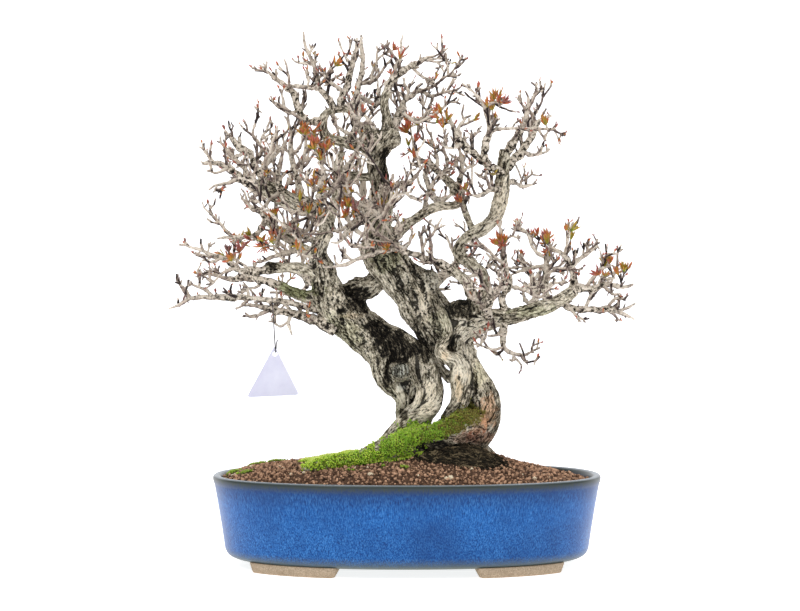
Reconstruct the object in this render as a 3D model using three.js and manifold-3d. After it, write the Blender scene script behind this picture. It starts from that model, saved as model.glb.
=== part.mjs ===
// A pomegranate bonsai in its oval glazed pot, in millimetres, with +Z up and the tree's front towards -Y.
// The pot stands on four feet at z = 0 and the tree leans over both of its ends.
import * as THREE from "three";
import { mergeVertices } from "three/addons/utils/BufferGeometryUtils.js";
import Module from "manifold-3d";

const wasm = await Module();
wasm.setup();
const { Manifold, Mesh: SolidMesh } = wasm;

// The pot, over its rim and down to its feet
const POT = {
  length: 324.7,
  depth: 250,
  footHeight: 7,
  floorTop: 16,
  drainDiameter: 22,
  drainSpacing: 140,
  footWidth: 11,
  footSunk: 1.5,
  footInset: 14,
  footSlope: 0.8,
};
const HALF_LENGTH = POT.length / 2;
const NARROWER = (POT.length - POT.depth) / 2;

// The pot's section from its underside over the rim to its floor: [inward from the rim, height]
const POT_SECTION = [
  [24, POT.footHeight], [16, 8.4], [11.6, 11.6], [9.8, 16], [1.8, 67.6], [0.1, 68.6], [0, 73.6],
  [1.2, 75.5], [3.6, 76], [6.4, 75.2], [7.6, 73], [17, 23], [23, POT.floorTop],
];
const OVAL_POWER = 2.25;
const OVAL_SEGMENTS = 40;
const FOOT_ANGLES = [0.58, 1.24];
const FOOT_BEVEL = 0.035;

// Neighbouring pieces that touch in life lie this far apart
const SEAT_GAP = 0.35;
const WOOD_ROOM = 0.6;
const CLEARANCE = 0.6;

// The soil: its side's section as the pot's, and its top, mounded to the trunk
const SOIL_SECTION = [[23.6, POT.floorTop + SEAT_GAP], [17.5, 23.2], [8.6, 68]];
const SOIL = { edgeInset: 8.5, edgeHeight: 73.5, crown: 8, crownPower: 5 };
const MOUND = { height: 17.5, x: 26, y: 2, spreadX: 60, spreadY: 46 };
const SOIL_RINGS = [1, 0.88, 0.72, 0.54, 0.36, 0.16];

// Coarse grain: two crossed waves across the soil's top, each bent by a slower wave
const GRAIN = { height: 0.9, across: 0.61, back: 0.53, bend: 1.5, slow: 0.33 };

// The plastic screen over each drain hole
const SCREEN = { side: 30, thickness: 1, opening: 6, pitch: 8.5 };

// The hanging tag and the wire that holds it: a ring round a twig, a drop and a loop through the tag
const TAG = { thickness: 0.8, holeRadius: 2.1, corner: 3.4 };
const WIRE = { radius: 0.45, ring: 3.3, loopHeight: 3.7, loopDepth: 1.7 };

// The front view that the tree's stations are read in: 0.84 mm a pixel at the trunk, seen from 2 m away
const VIEW = { mmPerPixel: 0.84, centreColumn: 406.75, eyeRow: 286.5, eyeHeight: 233, distance: 2000 };

// A leaf, whose widest place is this share of its length from the tip
const LEAF = { length: 7.5, halfWidth: 1.55, halfThickness: 0.42, widestAt: 0.55, mostOfShoot: 0.8 };

// The short leafy shoots along the limbs: their steps, their reach and how they lean and rise
const SPUR = {
  spacing: 56,
  first: 16,
  highest: 444,
  widest: 186,
  shortest: 9,
  spread: 8,
  base: 1.1,
  radius: 0.8,
  leastLean: 0.5,
  bend: 0.6,
  rise: 0.6,
  tries: 6,
  seed: 20771,
};

// Limbs at least this thick have four sides, thinner ones three
const STOUT = 3.9;

// Low ridges that wind along each strand: [how many, relief, turn at each ring]
const RIDGES = [[3, 0.06, 0.7], [5, 0.04, -0.9]];

// Burls are wider than they are high and deep
const BURL_SHAPE = [1.1, 0.9, 0.85];

// The most that a face moves where small faces are merged
const EASED = { pot: 0.05, soil: 0.15, trunk: 0.32, spray: 0.2, wire: 0.03 };

// A station is [column, row, depth behind the pot's centre, radius], the last two in millimetres.
// Trunk strands and main limbs, which are one grown body
const STRANDS = {
  paleRoot: [8, 12, [[362, 465, -40, 4], [374, 452, -35, 5], [386, 440, -30, 5.5], [398, 429, -26, 7],
    [411, 419, -21, 9], [425, 408, -15, 12], [432, 394, -12, 13.5], [431, 380, -10, 11],
    [425, 367, -7, 9.5], [418, 354, -4, 9], [407, 343, -2, 9], [394, 331, 0, 9]]],
  paleRidge: [5, 9, [[409, 414, -25, 2.4], [417, 401, -25, 3.6], [419, 390, -23, 3.6],
    [415, 380, -20, 3.6], [411, 368, -17, 3.6], [410, 355, -13, 3.4], [403, 343, -8, 3]]],
  leftStrand: [8, 12, [[399, 456, 2, 9], [398, 440, 1, 8], [399, 424, 0, 7], [400, 411, -4, 6.5],
    [403, 401, -8, 7.5], [398, 391, -10, 8], [390, 384, -9, 8.5], [384, 374, -7, 10],
    [380, 360, -5, 11.5], [370, 344, -4, 12.8], [352, 326, -4, 14.5], [337, 311, -5, 15.5],
    [326, 297, -7, 13]]],
  darkStrand: [7, 6, [[412, 374, 8, 8], [399, 353, 9, 10], [386, 336, 9, 12.5], [368, 316, 8, 12],
    [355, 301, 8, 10], [345, 291, 8, 9]]],
  leftBack: [7, 8, [[413, 456, 16, 10], [414, 440, 16, 9], [418, 424, 16, 9.5], [424, 402, 13, 13],
    [423, 380, 12, 13.5], [414, 360, 13, 13], [401, 344, 14, 12], [386, 327, 16, 11],
    [369, 311, 15, 10]]],
  leftCore: [7, 6, [[407, 440, 2, 8], [409, 420, 0, 9], [412, 400, -2, 12], [408, 380, 0, 15],
    [399, 362, 1, 16], [387, 346, 1, 14], [372, 330, 1, 12]]],
  serpent: [7, 15, [[442, 430, -6, 7], [449, 416, -10, 7.5], [458, 405, -14, 8.5], [461, 394, -16, 9.3],
    [461, 383, -17, 9.3], [460, 372, -17, 9], [456, 363, -17, 7.5], [447, 358, -17, 6],
    [440, 353, -16, 5.5], [441, 346, -15, 5], [446, 338, -14, 4.8], [447, 329, -13, 5],
    [443, 318, -12, 5.5], [437, 307, -12, 5.5], [431, 296, -11, 5]]],
  rightArc: [9, 11, [[460, 462, -4, 19], [465, 446, -6, 17], [474, 434, -6, 15], [483, 421, -6, 13],
    [486, 406, -6, 12], [482, 389, -6, 12.3], [471, 372, -5, 11.5], [464, 359, -4, 9.8],
    [458, 347, -3, 9.5], [456, 336, -3, 10], [463, 325, -4, 12]]],
  rightBack: [7, 8, [[462, 446, 14, 12], [472, 420, 17, 12], [473, 395, 17, 12.5], [466, 370, 15, 12],
    [459, 347, 13, 12], [452, 330, 13, 12], [438, 311, 11, 12], [425, 294, 9, 12], [411, 278, 7, 11]]],
  rootCrown: [9, 3, [[440, 434, 2, 18], [440, 450, 2, 25], [440, 482, 2, 24]]],
  mossRoot: [7, 10, [[480, 424, -14, 10], [462, 427, -26, 13], [445, 433, -33, 12.5], [428, 437, -38, 11],
    [412, 440, -42, 11], [396, 446, -46, 11], [380, 452, -50, 9.5], [362, 459, -54, 7],
    [342, 462, -58, 6], [322, 465, -62, 5], [303, 470, -65, 4]]],
  rootBackLeft: [6, 4, [[430, 438, 18, 9], [420, 450, 38, 7.5], [408, 457, 56, 5.5], [396, 463, 74, 3.5]]],
  rootBackRight: [6, 4, [[474, 438, 12, 9], [490, 448, 28, 7], [505, 454, 44, 5], [520, 461, 58, 3.5]]],
  rootLeft: [6, 4, [[404, 440, 4, 8], [388, 448, 10, 6.5], [374, 455, 16, 5], [358, 462, 24, 3.5]]],
  leftLimb: [8, 7, [[342, 318, -4, 15], [334, 303, -6, 14], [328, 289, -8, 12.5], [324, 275, -10, 11],
    [320, 262, -11, 9.5], [318, 250, -12, 8], [322, 240, -12, 7.5], [328, 231, -13, 7]]],
  crossLimb: [7, 3, [[344, 294, 7, 9], [355, 290, 6, 10], [367, 287, 5, 10], [380, 277, 1, 8.5]]],
  lichenStem: [6, 9, [[431, 368, 8, 9], [424, 350, 6, 9], [415, 331, 2, 8.5], [407, 315, -2, 8],
    [400, 300, -4, 7.5], [392, 288, -5, 7.2], [383, 276, -5, 7.2], [373, 264, -4, 8],
    [369, 250, -2, 8], [374, 236, 0, 8]]],
  rightStem: [8, 7, [[457, 353, 2, 9], [447, 339, 0, 11], [438, 325, 0, 13], [430, 310, 0, 14],
    [424, 297, 0, 14.5], [415, 284, 0, 13], [405, 272, 0, 11.5], [396, 262, 0, 10.5], [388, 250, 0, 11]]],
  upperTrunk: [7, 9, [[386, 256, 0, 12], [381, 245, 0, 14], [379, 226, 0, 11.5], [382, 206, 0, 9],
    [380, 186, 0, 8.4], [377, 170, 0, 8.8], [377, 158, 0, 9], [380, 145, 0, 11], [385, 133, 0, 8]]],
  darkFork: [6, 2, [[374, 150, 4, 8], [368, 136, 8, 6], [364, 123, 10, 4]]],
  lowRightLimb: [6, 8, [[463, 334, -3, 11], [475, 323, -6, 11.5], [490, 318, -10, 9], [510, 317, -15, 7.2],
    [530, 311, -20, 6.5], [550, 305, -25, 6.7], [565, 297, -28, 6], [575, 289, -31, 5]]],
  highRightLimb: [5, 14, [[472, 318, 2, 9], [480, 302, 5, 7.5], [485, 288, 9, 5.5], [483, 275, 14, 5.2],
    [471, 263, 19, 5.2], [460, 256, 22, 5.2], [460, 244, 22, 5.2], [473, 235, 19, 5.2],
    [487, 226, 15, 5.4], [500, 213, 11, 5.5], [505, 196, 8, 5.5], [507, 180, 6, 5.2],
    [505, 165, 4, 4.8], [505, 149, 3, 4.2]]],
  innerRightLimb: [6, 3, [[476, 312, -10, 6], [468, 285, -20, 5], [449, 269, -26, 4.2]]],
  darkArm: [5, 9, [[386, 240, 6, 7], [396, 233, 10, 6], [406, 225, 14, 5], [425, 212, 20, 4.6],
    [441, 207, 26, 4.3], [455, 205, 31, 4.3], [461, 197, 34, 4.6], [455, 187, 36, 5],
    [445, 177, 37, 3.4]]],
  armLink: [5, 2, [[474, 234, 19, 3.2], [466, 214, 27, 3], [461, 198, 34, 3]]],
  padLimb: [6, 6, [[328, 231, -13, 7], [324, 221, -15, 7], [311, 208, -18, 7], [296, 203, -21, 7.6],
    [280, 196, -24, 8], [265, 188, -27, 6.2], [254, 183, -29, 4.6]]],
  crownLimb: [6, 7, [[372, 151, -3, 6.5], [360, 146, -6, 6], [349, 143, -9, 5.5], [335, 140, -13, 5.2],
    [326, 136, -16, 5], [322, 127, -18, 4.5], [323, 117, -19, 4], [328, 110, -20, 3.2]]],
  crownArch: [5, 4, [[327, 112, -20, 3], [340, 109, -14, 3.2], [350, 112, -8, 3.4], [358, 126, -2, 3.6],
    [368, 140, 4, 4]]],
  peakLimb: [6, 4, [[387, 136, 0, 6], [387, 120, -2, 5.2], [385, 108, -3, 4.6], [385, 98, -4, 4.2],
    [389, 86, -5, 3.6]]],
  innerUpright: [6, 4, [[327, 228, -12, 5], [331, 213, -8, 4.4], [337, 192, -5, 4.2], [338, 168, -3, 4],
    [342, 152, -2, 3.2]]],
  innerTie: [5, 2, [[376, 178, -1, 4], [356, 176, -3, 3.5], [340, 173, -4, 3.2]]],
  lichenBough: [6, 3, [[324, 301, -8, 8], [306, 297, -4, 6], [290, 290, 0, 5], [276, 284, 4, 4]]],
  burlBough: [6, 3, [[323, 277, -12, 6], [308, 270, -16, 5], [292, 268, -20, 5], [275, 268, -25, 5.4]]],
  upperBough: [6, 4, [[320, 253, -8, 5], [306, 250, -2, 4.3], [295, 243, 4, 4.2], [281, 234, 10, 4.2],
    [270, 223, 15, 4.4]]],
};

// Burls and cut stubs: [column, row, depth, radius]
const KNOTS = [[400, 371, -10, 11], [428, 282, -2, 12], [460, 312, -6, 12.4], [474, 313, -4, 10],
  [390, 139, -3, 10], [270, 268, -26, 6.2], [455, 190, 36, 6]];

// The leafy sprays. The first limb of each grows from the trunk or a main limb, the others from that limb.
const SPRAYS = {
  left_reach: [
    [[324, 313, -6, 3], [305, 307, -12, 2.6], [290, 303, -17, 2.5], [272.5, 300, -22, 2.4],
      [255, 299.5, -27, 2.3], [240, 298, -30, 2.3], [232, 299.5, -31, 3], [222, 298, -32, 2.2],
      [205, 297, -35, 2], [190, 298, -37, 1.7], [182, 303, -33, 1.4], [168, 309, -28, 0.9]],
    [[191, 298, -37, 1.5], [186, 291, -40, 1.1], [183, 286, -43, 0.8]],
    [[212, 297, -34, 1.7], [206, 290, -28, 1.4], [191, 284, -20, 0.9]],
    [[248, 299, -28, 1.5], [242, 306, -35, 1.1], [236, 309, -40, 0.8]],
  ],
  left_low: [
    [[336, 330, -8, 6], [318, 321, -8, 4.4], [305, 317, -7, 3.6], [290, 313, -7, 3], [270, 309, -8, 2.6],
      [250, 304, -10, 1.2]],
    [[272, 309, -8, 1.8], [258, 315, -2, 1.4], [245, 316, 4, 0.9]],
    [[291, 314, -7, 1.5], [288, 324, -12, 1.2], [291, 334, -16, 0.8]],
    [[288, 322, -11, 1.1], [280, 326, -6, 1], [274, 321, 0, 0.7]],
  ],
  left_lichen: [
    [[279, 286, 3, 3.8], [255, 277, 9, 3], [240, 278, 12, 2.6], [232, 279, 13, 2.2], [214, 275, 16, 1.3],
      [203, 272, 18, 0.9]],
    [[241, 278, 12, 1.6], [248, 268, 16, 1.3], [228, 256, 20, 0.8]],
    [[262, 280, 7, 1.8], [256, 288, 14, 1.3], [242, 290, 20, 0.8]],
  ],
  left_dark: [
    [[274, 268, -26, 4], [258, 271, -28, 3.2], [242, 272, -30, 3], [233, 265, -31, 2.6],
      [222, 258, -32, 2.1], [205, 252, -34, 1.6], [188, 245, -37, 0.8]],
    [[222, 258, -32, 1.4], [212, 262, -40, 1.1], [206, 258, -46, 0.7]],
    [[236, 268, -31, 1.7], [224, 272, -38, 1.3], [212, 284, -46, 0.8]],
  ],
  left_upper: [
    [[270, 223, 15, 4.2], [262, 213, 18, 2.6], [250, 206, 22, 1.8], [243, 197, 25, 0.9]],
    [[266, 219, 16, 2.6], [258, 233, 22, 2.2], [244, 237, 26, 1.8], [232, 238, 30, 1.5], [220, 239, 33, 0.9]],
    [[233, 238, 30, 1.5], [218, 222, 36, 1.3], [204, 207, 42, 0.8]],
  ],
  left_inner: [
    [[304, 250, -2, 3], [292, 251, -10, 2.2], [284, 253, -18, 2], [272, 257, -26, 1.6], [259, 262, -34, 0.9]],
    [[285, 253, -17, 1.5], [276, 247, -30, 1.2], [266, 245, -42, 0.8]],
  ],
  left_fork: [
    [[320, 243, -14, 3], [310, 239, -28, 2.4], [303, 235, -40, 2.2], [294, 231, -54, 1.6],
      [284, 229, -68, 0.9]],
    [[303, 235, -40, 1.7], [309, 228, -52, 1.3], [316, 221, -64, 0.8]],
    [[297, 232, -50, 1.4], [300, 244, -62, 1.1], [298, 256, -74, 0.7]],
  ],
  pad_tip: [
    [[256, 184, -29, 4.4], [243, 180, -32, 4], [234, 173, -35, 3], [228, 168, -37, 2.5], [212, 163, -41, 1.9],
      [202, 162, -44, 1]],
    [[240, 178, -33, 2], [232, 182, -41, 1.6], [214, 187, -52, 0.8]],
    [[248, 182, -30, 2.4], [245, 170, -22, 2.2], [228, 152, -12, 1.6], [221, 141, -8, 0.8]],
    [[228, 168, -37, 1.5], [218, 172, -48, 1.2], [207, 171, -56, 0.7]],
  ],
  pad_rise: [
    [[268, 188, -26, 4], [262, 178, -20, 3.2], [257, 168, -15, 2.8], [252, 158, -12, 2.4],
      [244, 150, -9, 3], [235, 143, -7, 2.8], [227, 134, -5, 0.9]],
    [[254, 162, -13, 1.8], [262, 150, -20, 1.5], [253, 134, -26, 1.2], [258, 117, -30, 0.7]],
    [[258, 170, -16, 1.7], [268, 164, -6, 1.6], [276, 155, 2, 1.3], [283, 146, 8, 0.8]],
    [[246, 152, -9, 1.5], [238, 156, 4, 1.2], [226, 158, 14, 0.8]],
  ],
  pad_inner: [
    [[282, 196, -24, 4], [278, 181, -32, 2.4], [280, 166, -40, 1.9], [283, 149, -47, 0.9]],
    [[278, 178, -33, 1.7], [267, 166, -42, 1.4], [269, 149, -50, 1.2], [276, 132, -56, 0.7]],
    [[281, 192, -26, 2], [270, 200, -42, 1.6], [262, 208, -56, 1.2], [252, 210, -68, 0.7]],
  ],
  pad_stem: [
    [[304, 206, -24, 3.6], [299, 190, -20, 2.9], [296, 175, -14, 2.5], [291, 150, -7, 1.8], [291, 130, -4, 1.3],
      [289, 114, -2, 0.8]],
    [[294, 172, -10, 1.5], [305, 160, 0, 1.3], [309, 145, 8, 0.8]],
    [[292, 156, -8, 1.4], [300, 146, -20, 1.2], [305, 136, -30, 0.8]],
  ],
  front_left: [
    [[312, 209, -20, 4], [316, 206, -42, 3.2], [320, 199, -62, 2.8], [317, 190, -82, 2.2],
      [303, 179, -110, 0.9]],
    [[320, 200, -60, 2], [334, 190, -74, 1.7], [340, 178, -86, 1.4], [338, 165, -98, 0.8]],
    [[317, 205, -44, 2], [305, 212, -58, 1.6], [292, 211, -74, 1.3], [280, 206, -88, 0.8]],
    [[318, 194, -74, 1.6], [322, 178, -84, 1.3], [318, 162, -92, 0.8]],
  ],
  front_mid: [
    [[380, 212, -8, 4.5], [372, 214, -28, 3.6], [362, 220, -46, 3], [352, 228, -62, 2.6],
      [345, 236, -76, 2], [336, 244, -90, 0.9]],
    [[362, 220, -46, 2.2], [354, 208, -60, 1.9], [349, 195, -74, 1.6], [346, 181, -86, 0.9]],
    [[353, 228, -62, 1.8], [364, 238, -76, 1.5], [370, 246, -88, 0.8]],
    [[371, 215, -30, 2], [380, 203, -44, 1.6], [386, 190, -56, 1.2], [392, 177, -66, 0.7]],
  ],
  front_sweep: [
    [[451, 270, -26, 3.8], [437, 262, -30, 3], [425, 258, -33, 2.6], [402, 251, -36, 2.1],
      [386, 250, -38, 2], [365, 257, -42, 1.7], [345, 263, -46, 1.4], [326, 267, -50, 0.8]],
    [[432, 260, -31, 1.8], [430, 248, -36, 1.5], [429, 230, -44, 0.8]],
    [[403, 251, -36, 1.4], [409, 243, -46, 1.2], [412, 232, -54, 0.8]],
  ],
  front_heart: [
    [[383, 246, -12, 4], [390, 241, -30, 3], [394, 234, -48, 2.4], [400, 227, -64, 1.6],
      [397, 218, -76, 0.8]],
    [[390, 241, -30, 1.6], [378, 234, -48, 1.4], [370, 226, -64, 1.1], [364, 216, -76, 0.7]],
  ],
  crown_left: [
    [[325, 120, -19, 3.4], [312, 122, -16, 3], [304, 117, -14, 2.8], [298, 106, -12, 3],
      [293, 93, -10, 2.8], [285, 86, -8, 2.4], [276, 79, -6, 1.9], [267, 72, -4, 0.9]],
    [[286, 87, -8, 1.8], [302, 87, -24, 1.6], [312, 90, -32, 1.4], [319, 85, -40, 0.8]],
    [[292, 91, -10, 1.6], [287, 80, -22, 1.2], [286, 65, -30, 0.7]],
    [[300, 110, -13, 1.6], [288, 112, -2, 1.3], [277, 104, 8, 0.8]],
  ],
  crown_spire: [
    [[335, 110, -17, 3.4], [326, 98, -19, 2.4], [318, 88, -20, 2.2], [316, 70, -20, 1.9],
      [308, 50, -18, 1.3], [303, 32, -17, 0.7]],
    [[313, 64, -20, 1.3], [306, 64, -8, 1], [299, 65, 0, 0.7]],
    [[318, 86, -20, 1.5], [325, 78, -30, 1.3], [332, 69, -38, 0.8]],
  ],
  crown_middle: [
    [[340, 109, -15, 3.2], [342, 98, -16, 3.2], [346, 89, -17, 3.2], [350, 74, -18, 2.5],
      [353, 62, -19, 2.1], [355, 41, -21, 0.8]],
    [[345, 92, -17, 1.8], [334, 85, -28, 1.5], [323, 76, -38, 0.8]],
    [[352, 66, -19, 1.4], [345, 56, -10, 1.1], [341, 46, -4, 0.7]],
  ],
  crown_back: [
    [[353, 116, -6, 3.2], [356, 100, 0, 2.6], [359, 86, 6, 2.3], [362, 70, 10, 2], [362, 52, 12, 1.6],
      [363, 35, 14, 0.8]],
    [[357, 95, 2, 1.7], [366, 100, 14, 1.6], [375, 103, 22, 1.5], [380, 97, 30, 1.2], [378, 86, 36, 0.8]],
    [[360, 84, 7, 1.7], [371, 82, 0, 1.6], [380, 74, -6, 1.3], [388, 63, -10, 0.8]],
    [[371, 82, 0, 1.3], [375, 66, 8, 1.1], [378, 49, 16, 0.7]],
  ],
  crown_front: [
    [[350, 142, -14, 3.6], [352, 135, -34, 2.8], [356, 127, -52, 2.3], [354, 117, -68, 1.8],
      [348, 105, -84, 0.8]],
    [[352, 135, -34, 1.7], [342, 131, -50, 1.4], [334, 122, -64, 0.8]],
    [[356, 127, -52, 1.5], [368, 121, -66, 1.2], [377, 112, -78, 0.7]],
  ],
  crown_peak: [
    [[387, 92, -5, 3.6], [391, 81, -6, 3.4], [400, 72, -8, 3], [410, 66, -9, 2.7], [422, 61, -10, 2.1],
      [435, 56, -11, 0.9]],
    [[424, 60, -10, 1.3], [436, 62, -20, 1], [447, 60, -28, 0.7]],
    [[400, 71, -8, 1.8], [396, 60, -16, 1.5], [388, 45, -22, 0.8]],
    [[399, 70, -8, 1.5], [401, 52, 0, 1.2], [403, 35, 6, 0.7]],
    [[411, 66, -9, 1.5], [418, 74, 0, 1.2], [427, 79, 8, 0.8]],
  ],
  crown_right: [
    [[390, 132, 3, 4], [397, 116, 10, 2.8], [404, 103, 14, 2.3], [418, 92, 20, 2], [434, 95, 24, 1.6],
      [458, 90, 30, 0.8]],
    [[418, 92, 20, 1.5], [438, 83, 12, 1.2], [458, 65, 4, 0.7]],
    [[434, 95, 24, 1.4], [430, 106, 32, 1.2], [425, 116, 38, 0.8]],
    [[401, 108, 12, 1.6], [408, 118, 2, 1.4], [420, 122, -8, 1.2], [446, 105, -16, 0.7]],
    [[404, 103, 14, 1.4], [408, 92, 26, 1.2], [404, 80, 36, 0.8]],
  ],
  heart_right: [
    [[384, 191, -4, 3.4], [396, 185, -14, 2.4], [408, 182, -22, 2], [422, 167, -34, 0.8]],
    [[398, 185, -15, 1.6], [408, 194, -26, 1.4], [419, 200, -36, 0.8]],
  ],
  arm_tip: [
    [[447, 180, 37, 3.4], [438, 172, 38, 2.8], [424, 162, 39, 2.2], [415, 153, 40, 1.7],
      [412, 134, 42, 0.8]],
    [[436, 171, 38, 1.6], [437, 158, 48, 1.4], [431, 134, 62, 0.7]],
    [[442, 175, 38, 2], [448, 163, 28, 1.7], [443, 145, 18, 1.4], [446, 134, 12, 0.8]],
  ],
  arm_shoot: [
    [[457, 189, 36, 3], [461, 175, 30, 2], [461, 158, 26, 1.6], [457, 139, 22, 0.8]],
    [[461, 172, 30, 1.4], [470, 166, 42, 1.2], [474, 156, 52, 0.8]],
  ],
  arm_front: [
    [[424, 212, 20, 2.6], [426, 200, 8, 1.8], [431, 188, -2, 1.5], [441, 174, -10, 0.8]],
    [[428, 194, 3, 1.3], [420, 186, -6, 1.1], [417, 176, -12, 0.7]],
  ],
  high_tip: [
    [[506, 154, 3, 4], [511, 146, 1, 3.5], [518, 137, 0, 3], [523, 129, -1, 2.3], [528, 109, -3, 1.5],
      [527, 96, -4, 0.8]],
    [[528, 111, -3, 1.3], [533, 101, -12, 1], [536, 93, -18, 0.7]],
    [[523, 129, -1, 1.6], [537, 129, -10, 1.3], [553, 130, -18, 0.7]],
  ],
  high_back: [
    [[507, 168, 5, 4], [514, 159, 14, 3.4], [521, 154, 20, 3.2], [530, 140, 24, 3], [537, 125, 28, 2.2],
      [552, 116, 34, 0.9]],
    [[523, 152, 20, 2], [534, 155, 30, 1.5], [547, 152, 40, 0.8]],
    [[537, 127, 28, 1.4], [534, 116, 38, 1.2], [539, 107, 46, 0.8]],
  ],
  high_front: [
    [[504, 174, 4, 3.6], [496, 169, -4, 3], [488, 166, -12, 3], [484, 155, -16, 3], [486, 144, -19, 3.1],
      [489, 130, -22, 2.5], [484, 107, -26, 1.6], [469, 88, -31, 0.7]],
    [[485, 110, -26, 1.3], [492, 104, -36, 1.1], [501, 103, -44, 0.7]],
    [[489, 131, -22, 1.6], [504, 129, -34, 1.3], [520, 129, -44, 0.7]],
    [[487, 164, -13, 2.6], [478, 158, -15, 3], [463, 142, -18, 3], [456, 132, -20, 2.4],
      [445, 112, -24, 0.8]],
    [[463, 142, -18, 1.6], [452, 148, -30, 1.3], [441, 146, -40, 0.8]],
  ],
  high_inner: [
    [[504, 190, 6, 3], [492, 189, -4, 2.2], [481, 194, -12, 1.8], [471, 194, -20, 0.8]],
    [[490, 190, -5, 1.5], [487, 181, -18, 1.3], [478, 174, -30, 0.8]],
  ],
  high_side: [
    [[507, 182, 6, 2.6], [515, 183, 12, 1.8], [525, 187, 20, 1.3], [534, 184, 28, 0.8]],
  ],
  right_reach: [
    [[562, 299, -27, 3.6], [568, 307, -26, 3], [584, 310, -24, 2.6], [595, 310, -22, 2.6],
      [608, 308, -20, 2.9], [618, 312, -18, 1.9], [635, 320, -15, 0.8]],
    [[617, 311, -18, 1.4], [626, 308, -24, 1.1], [635, 303, -28, 0.7]],
    [[607, 308, -20, 1.4], [613, 299, -28, 1.1], [620, 296, -34, 0.7]],
    [[570, 308, -26, 1.8], [576, 315, -32, 1.3], [583, 321, -38, 0.8]],
  ],
  right_tip: [
    [[574, 290, -31, 4.2], [580, 288, -33, 3.2], [595, 287, -37, 2.6], [605, 285, -40, 2.2],
      [622, 287, -44, 1.5], [633, 283, -47, 0.8]],
    [[585, 288, -34, 1.8], [598, 271, -46, 1.4], [607, 267, -54, 0.8]],
    [[597, 287, -38, 1.5], [603, 277, -26, 1.2], [622, 269, -14, 0.7]],
    [[603, 286, -40, 1.4], [612, 294, -54, 1.1], [620, 296, -66, 0.7]],
  ],
  right_rise: [
    [[570, 293, -29, 3.6], [574, 280, -25, 3], [570, 263, -20, 2.5], [563, 254, -18, 2.1],
      [550, 246, -14, 0.9]],
    [[564, 255, -18, 1.4], [567, 246, -27, 1.2], [568, 236, -34, 0.7]],
    [[571, 267, -21, 1.8], [580, 259, -12, 1.5], [590, 252, -5, 1.2], [598, 246, 2, 0.7]],
  ],
  right_middle: [
    [[549, 304, -25, 3.8], [545, 289, -22, 3], [545, 267, -18, 2.4], [547, 257, -16, 2],
      [550, 248, -14, 0.8]],
    [[545, 266, -18, 1.8], [528, 268, -6, 1.6], [511, 276, 6, 0.8]],
    [[545, 280, -20, 1.6], [552, 271, -32, 1.4], [568, 268, -44, 0.8]],
    [[547, 258, -16, 1.6], [537, 253, -8, 1.5], [527, 233, 0, 1.2], [518, 227, 6, 0.7]],
  ],
  right_pale: [
    [[508, 317, -15, 3.4], [501, 300, -20, 2.6], [511, 285, -24, 2.7], [505, 264, -28, 2.6],
      [503, 240, -32, 1.8], [500, 226, -34, 0.8]],
    [[510, 286, -24, 1.6], [522, 290, -34, 1.4], [534, 295, -44, 1.2], [546, 299, -52, 0.7]],
    [[505, 264, -28, 1.5], [495, 258, -40, 1.3], [478, 243, -52, 0.7]],
    [[503, 242, -32, 1.3], [511, 237, -42, 1.1], [519, 239, -50, 0.7]],
  ],
  right_hanging: [
    [[505, 319, -15, 3.2], [504, 333, -17, 3], [504, 347, -19, 2], [522, 355, -24, 1.2],
      [537, 348, -30, 0.7]],
    [[504, 347, -19, 1.2], [492, 349, -24, 1], [479, 345, -30, 0.7]],
  ],
  front_right: [
    [[489, 317, -12, 4.5], [487, 308, -36, 3.2], [490, 298, -58, 2.6], [496, 290, -78, 2],
      [504, 281, -98, 0.8]],
    [[487, 306, -40, 1.8], [474, 299, -56, 1.4], [464, 288, -70, 0.8]],
    [[491, 297, -60, 1.6], [484, 284, -74, 1.3], [480, 270, -84, 0.8]],
  ],
  back_left: [
    [[379, 222, 8, 5], [370, 214, 30, 4], [360, 206, 52, 3.4], [350, 200, 74, 2.8], [340, 192, 94, 2.2],
      [331, 183, 112, 0.9]],
    [[361, 207, 50, 2.2], [364, 190, 66, 1.8], [360, 175, 78, 1.4], [352, 162, 90, 0.8]],
    [[350, 200, 74, 1.8], [336, 206, 86, 1.4], [312, 200, 106, 0.7]],
    [[366, 211, 40, 2], [352, 222, 56, 1.6], [338, 230, 70, 1.2], [326, 228, 84, 0.7]],
  ],
  back_right: [
    [[425, 295, 10, 6], [436, 283, 34, 4.4], [448, 272, 56, 3.6], [458, 262, 78, 2.8], [467, 250, 98, 2],
      [475, 237, 114, 0.9]],
    [[448, 272, 56, 2.2], [464, 276, 70, 1.8], [480, 272, 84, 1.4], [494, 264, 96, 0.8]],
    [[459, 261, 80, 1.8], [452, 248, 92, 1.4], [446, 236, 102, 0.8]],
  ],
  back_top: [
    [[381, 147, 5, 5], [386, 140, 28, 3.6], [394, 130, 48, 3], [400, 118, 66, 2.4], [404, 104, 82, 1.6],
      [404, 90, 94, 0.8]],
    [[394, 130, 48, 1.8], [408, 128, 62, 1.5], [420, 122, 76, 1.1], [430, 112, 86, 0.7]],
    [[386, 140, 28, 1.8], [374, 128, 46, 1.6], [364, 114, 60, 1.2], [356, 100, 72, 0.8]],
  ],
  back_low_left: [
    [[331, 297, 4, 5.5], [322, 288, 28, 4], [310, 280, 50, 3.2], [298, 272, 70, 2.6], [286, 262, 90, 1.9],
      [275, 251, 106, 0.8]],
    [[311, 281, 48, 2], [300, 292, 62, 1.5], [288, 296, 76, 1.1], [276, 292, 86, 0.7]],
    [[298, 272, 70, 1.7], [304, 256, 82, 1.3], [300, 240, 92, 0.8]],
  ],
  back_far_right: [
    [[530, 310, -16, 4], [534, 301, 10, 3], [536, 291, 34, 2.6], [534, 281, 56, 2.2], [528, 270, 76, 1.6],
      [520, 261, 92, 0.8]],
    [[536, 291, 34, 1.7], [548, 286, 50, 1.3], [562, 281, 64, 0.8]],
    [[534, 280, 58, 1.5], [544, 268, 72, 1.2], [552, 256, 82, 0.7]],
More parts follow.
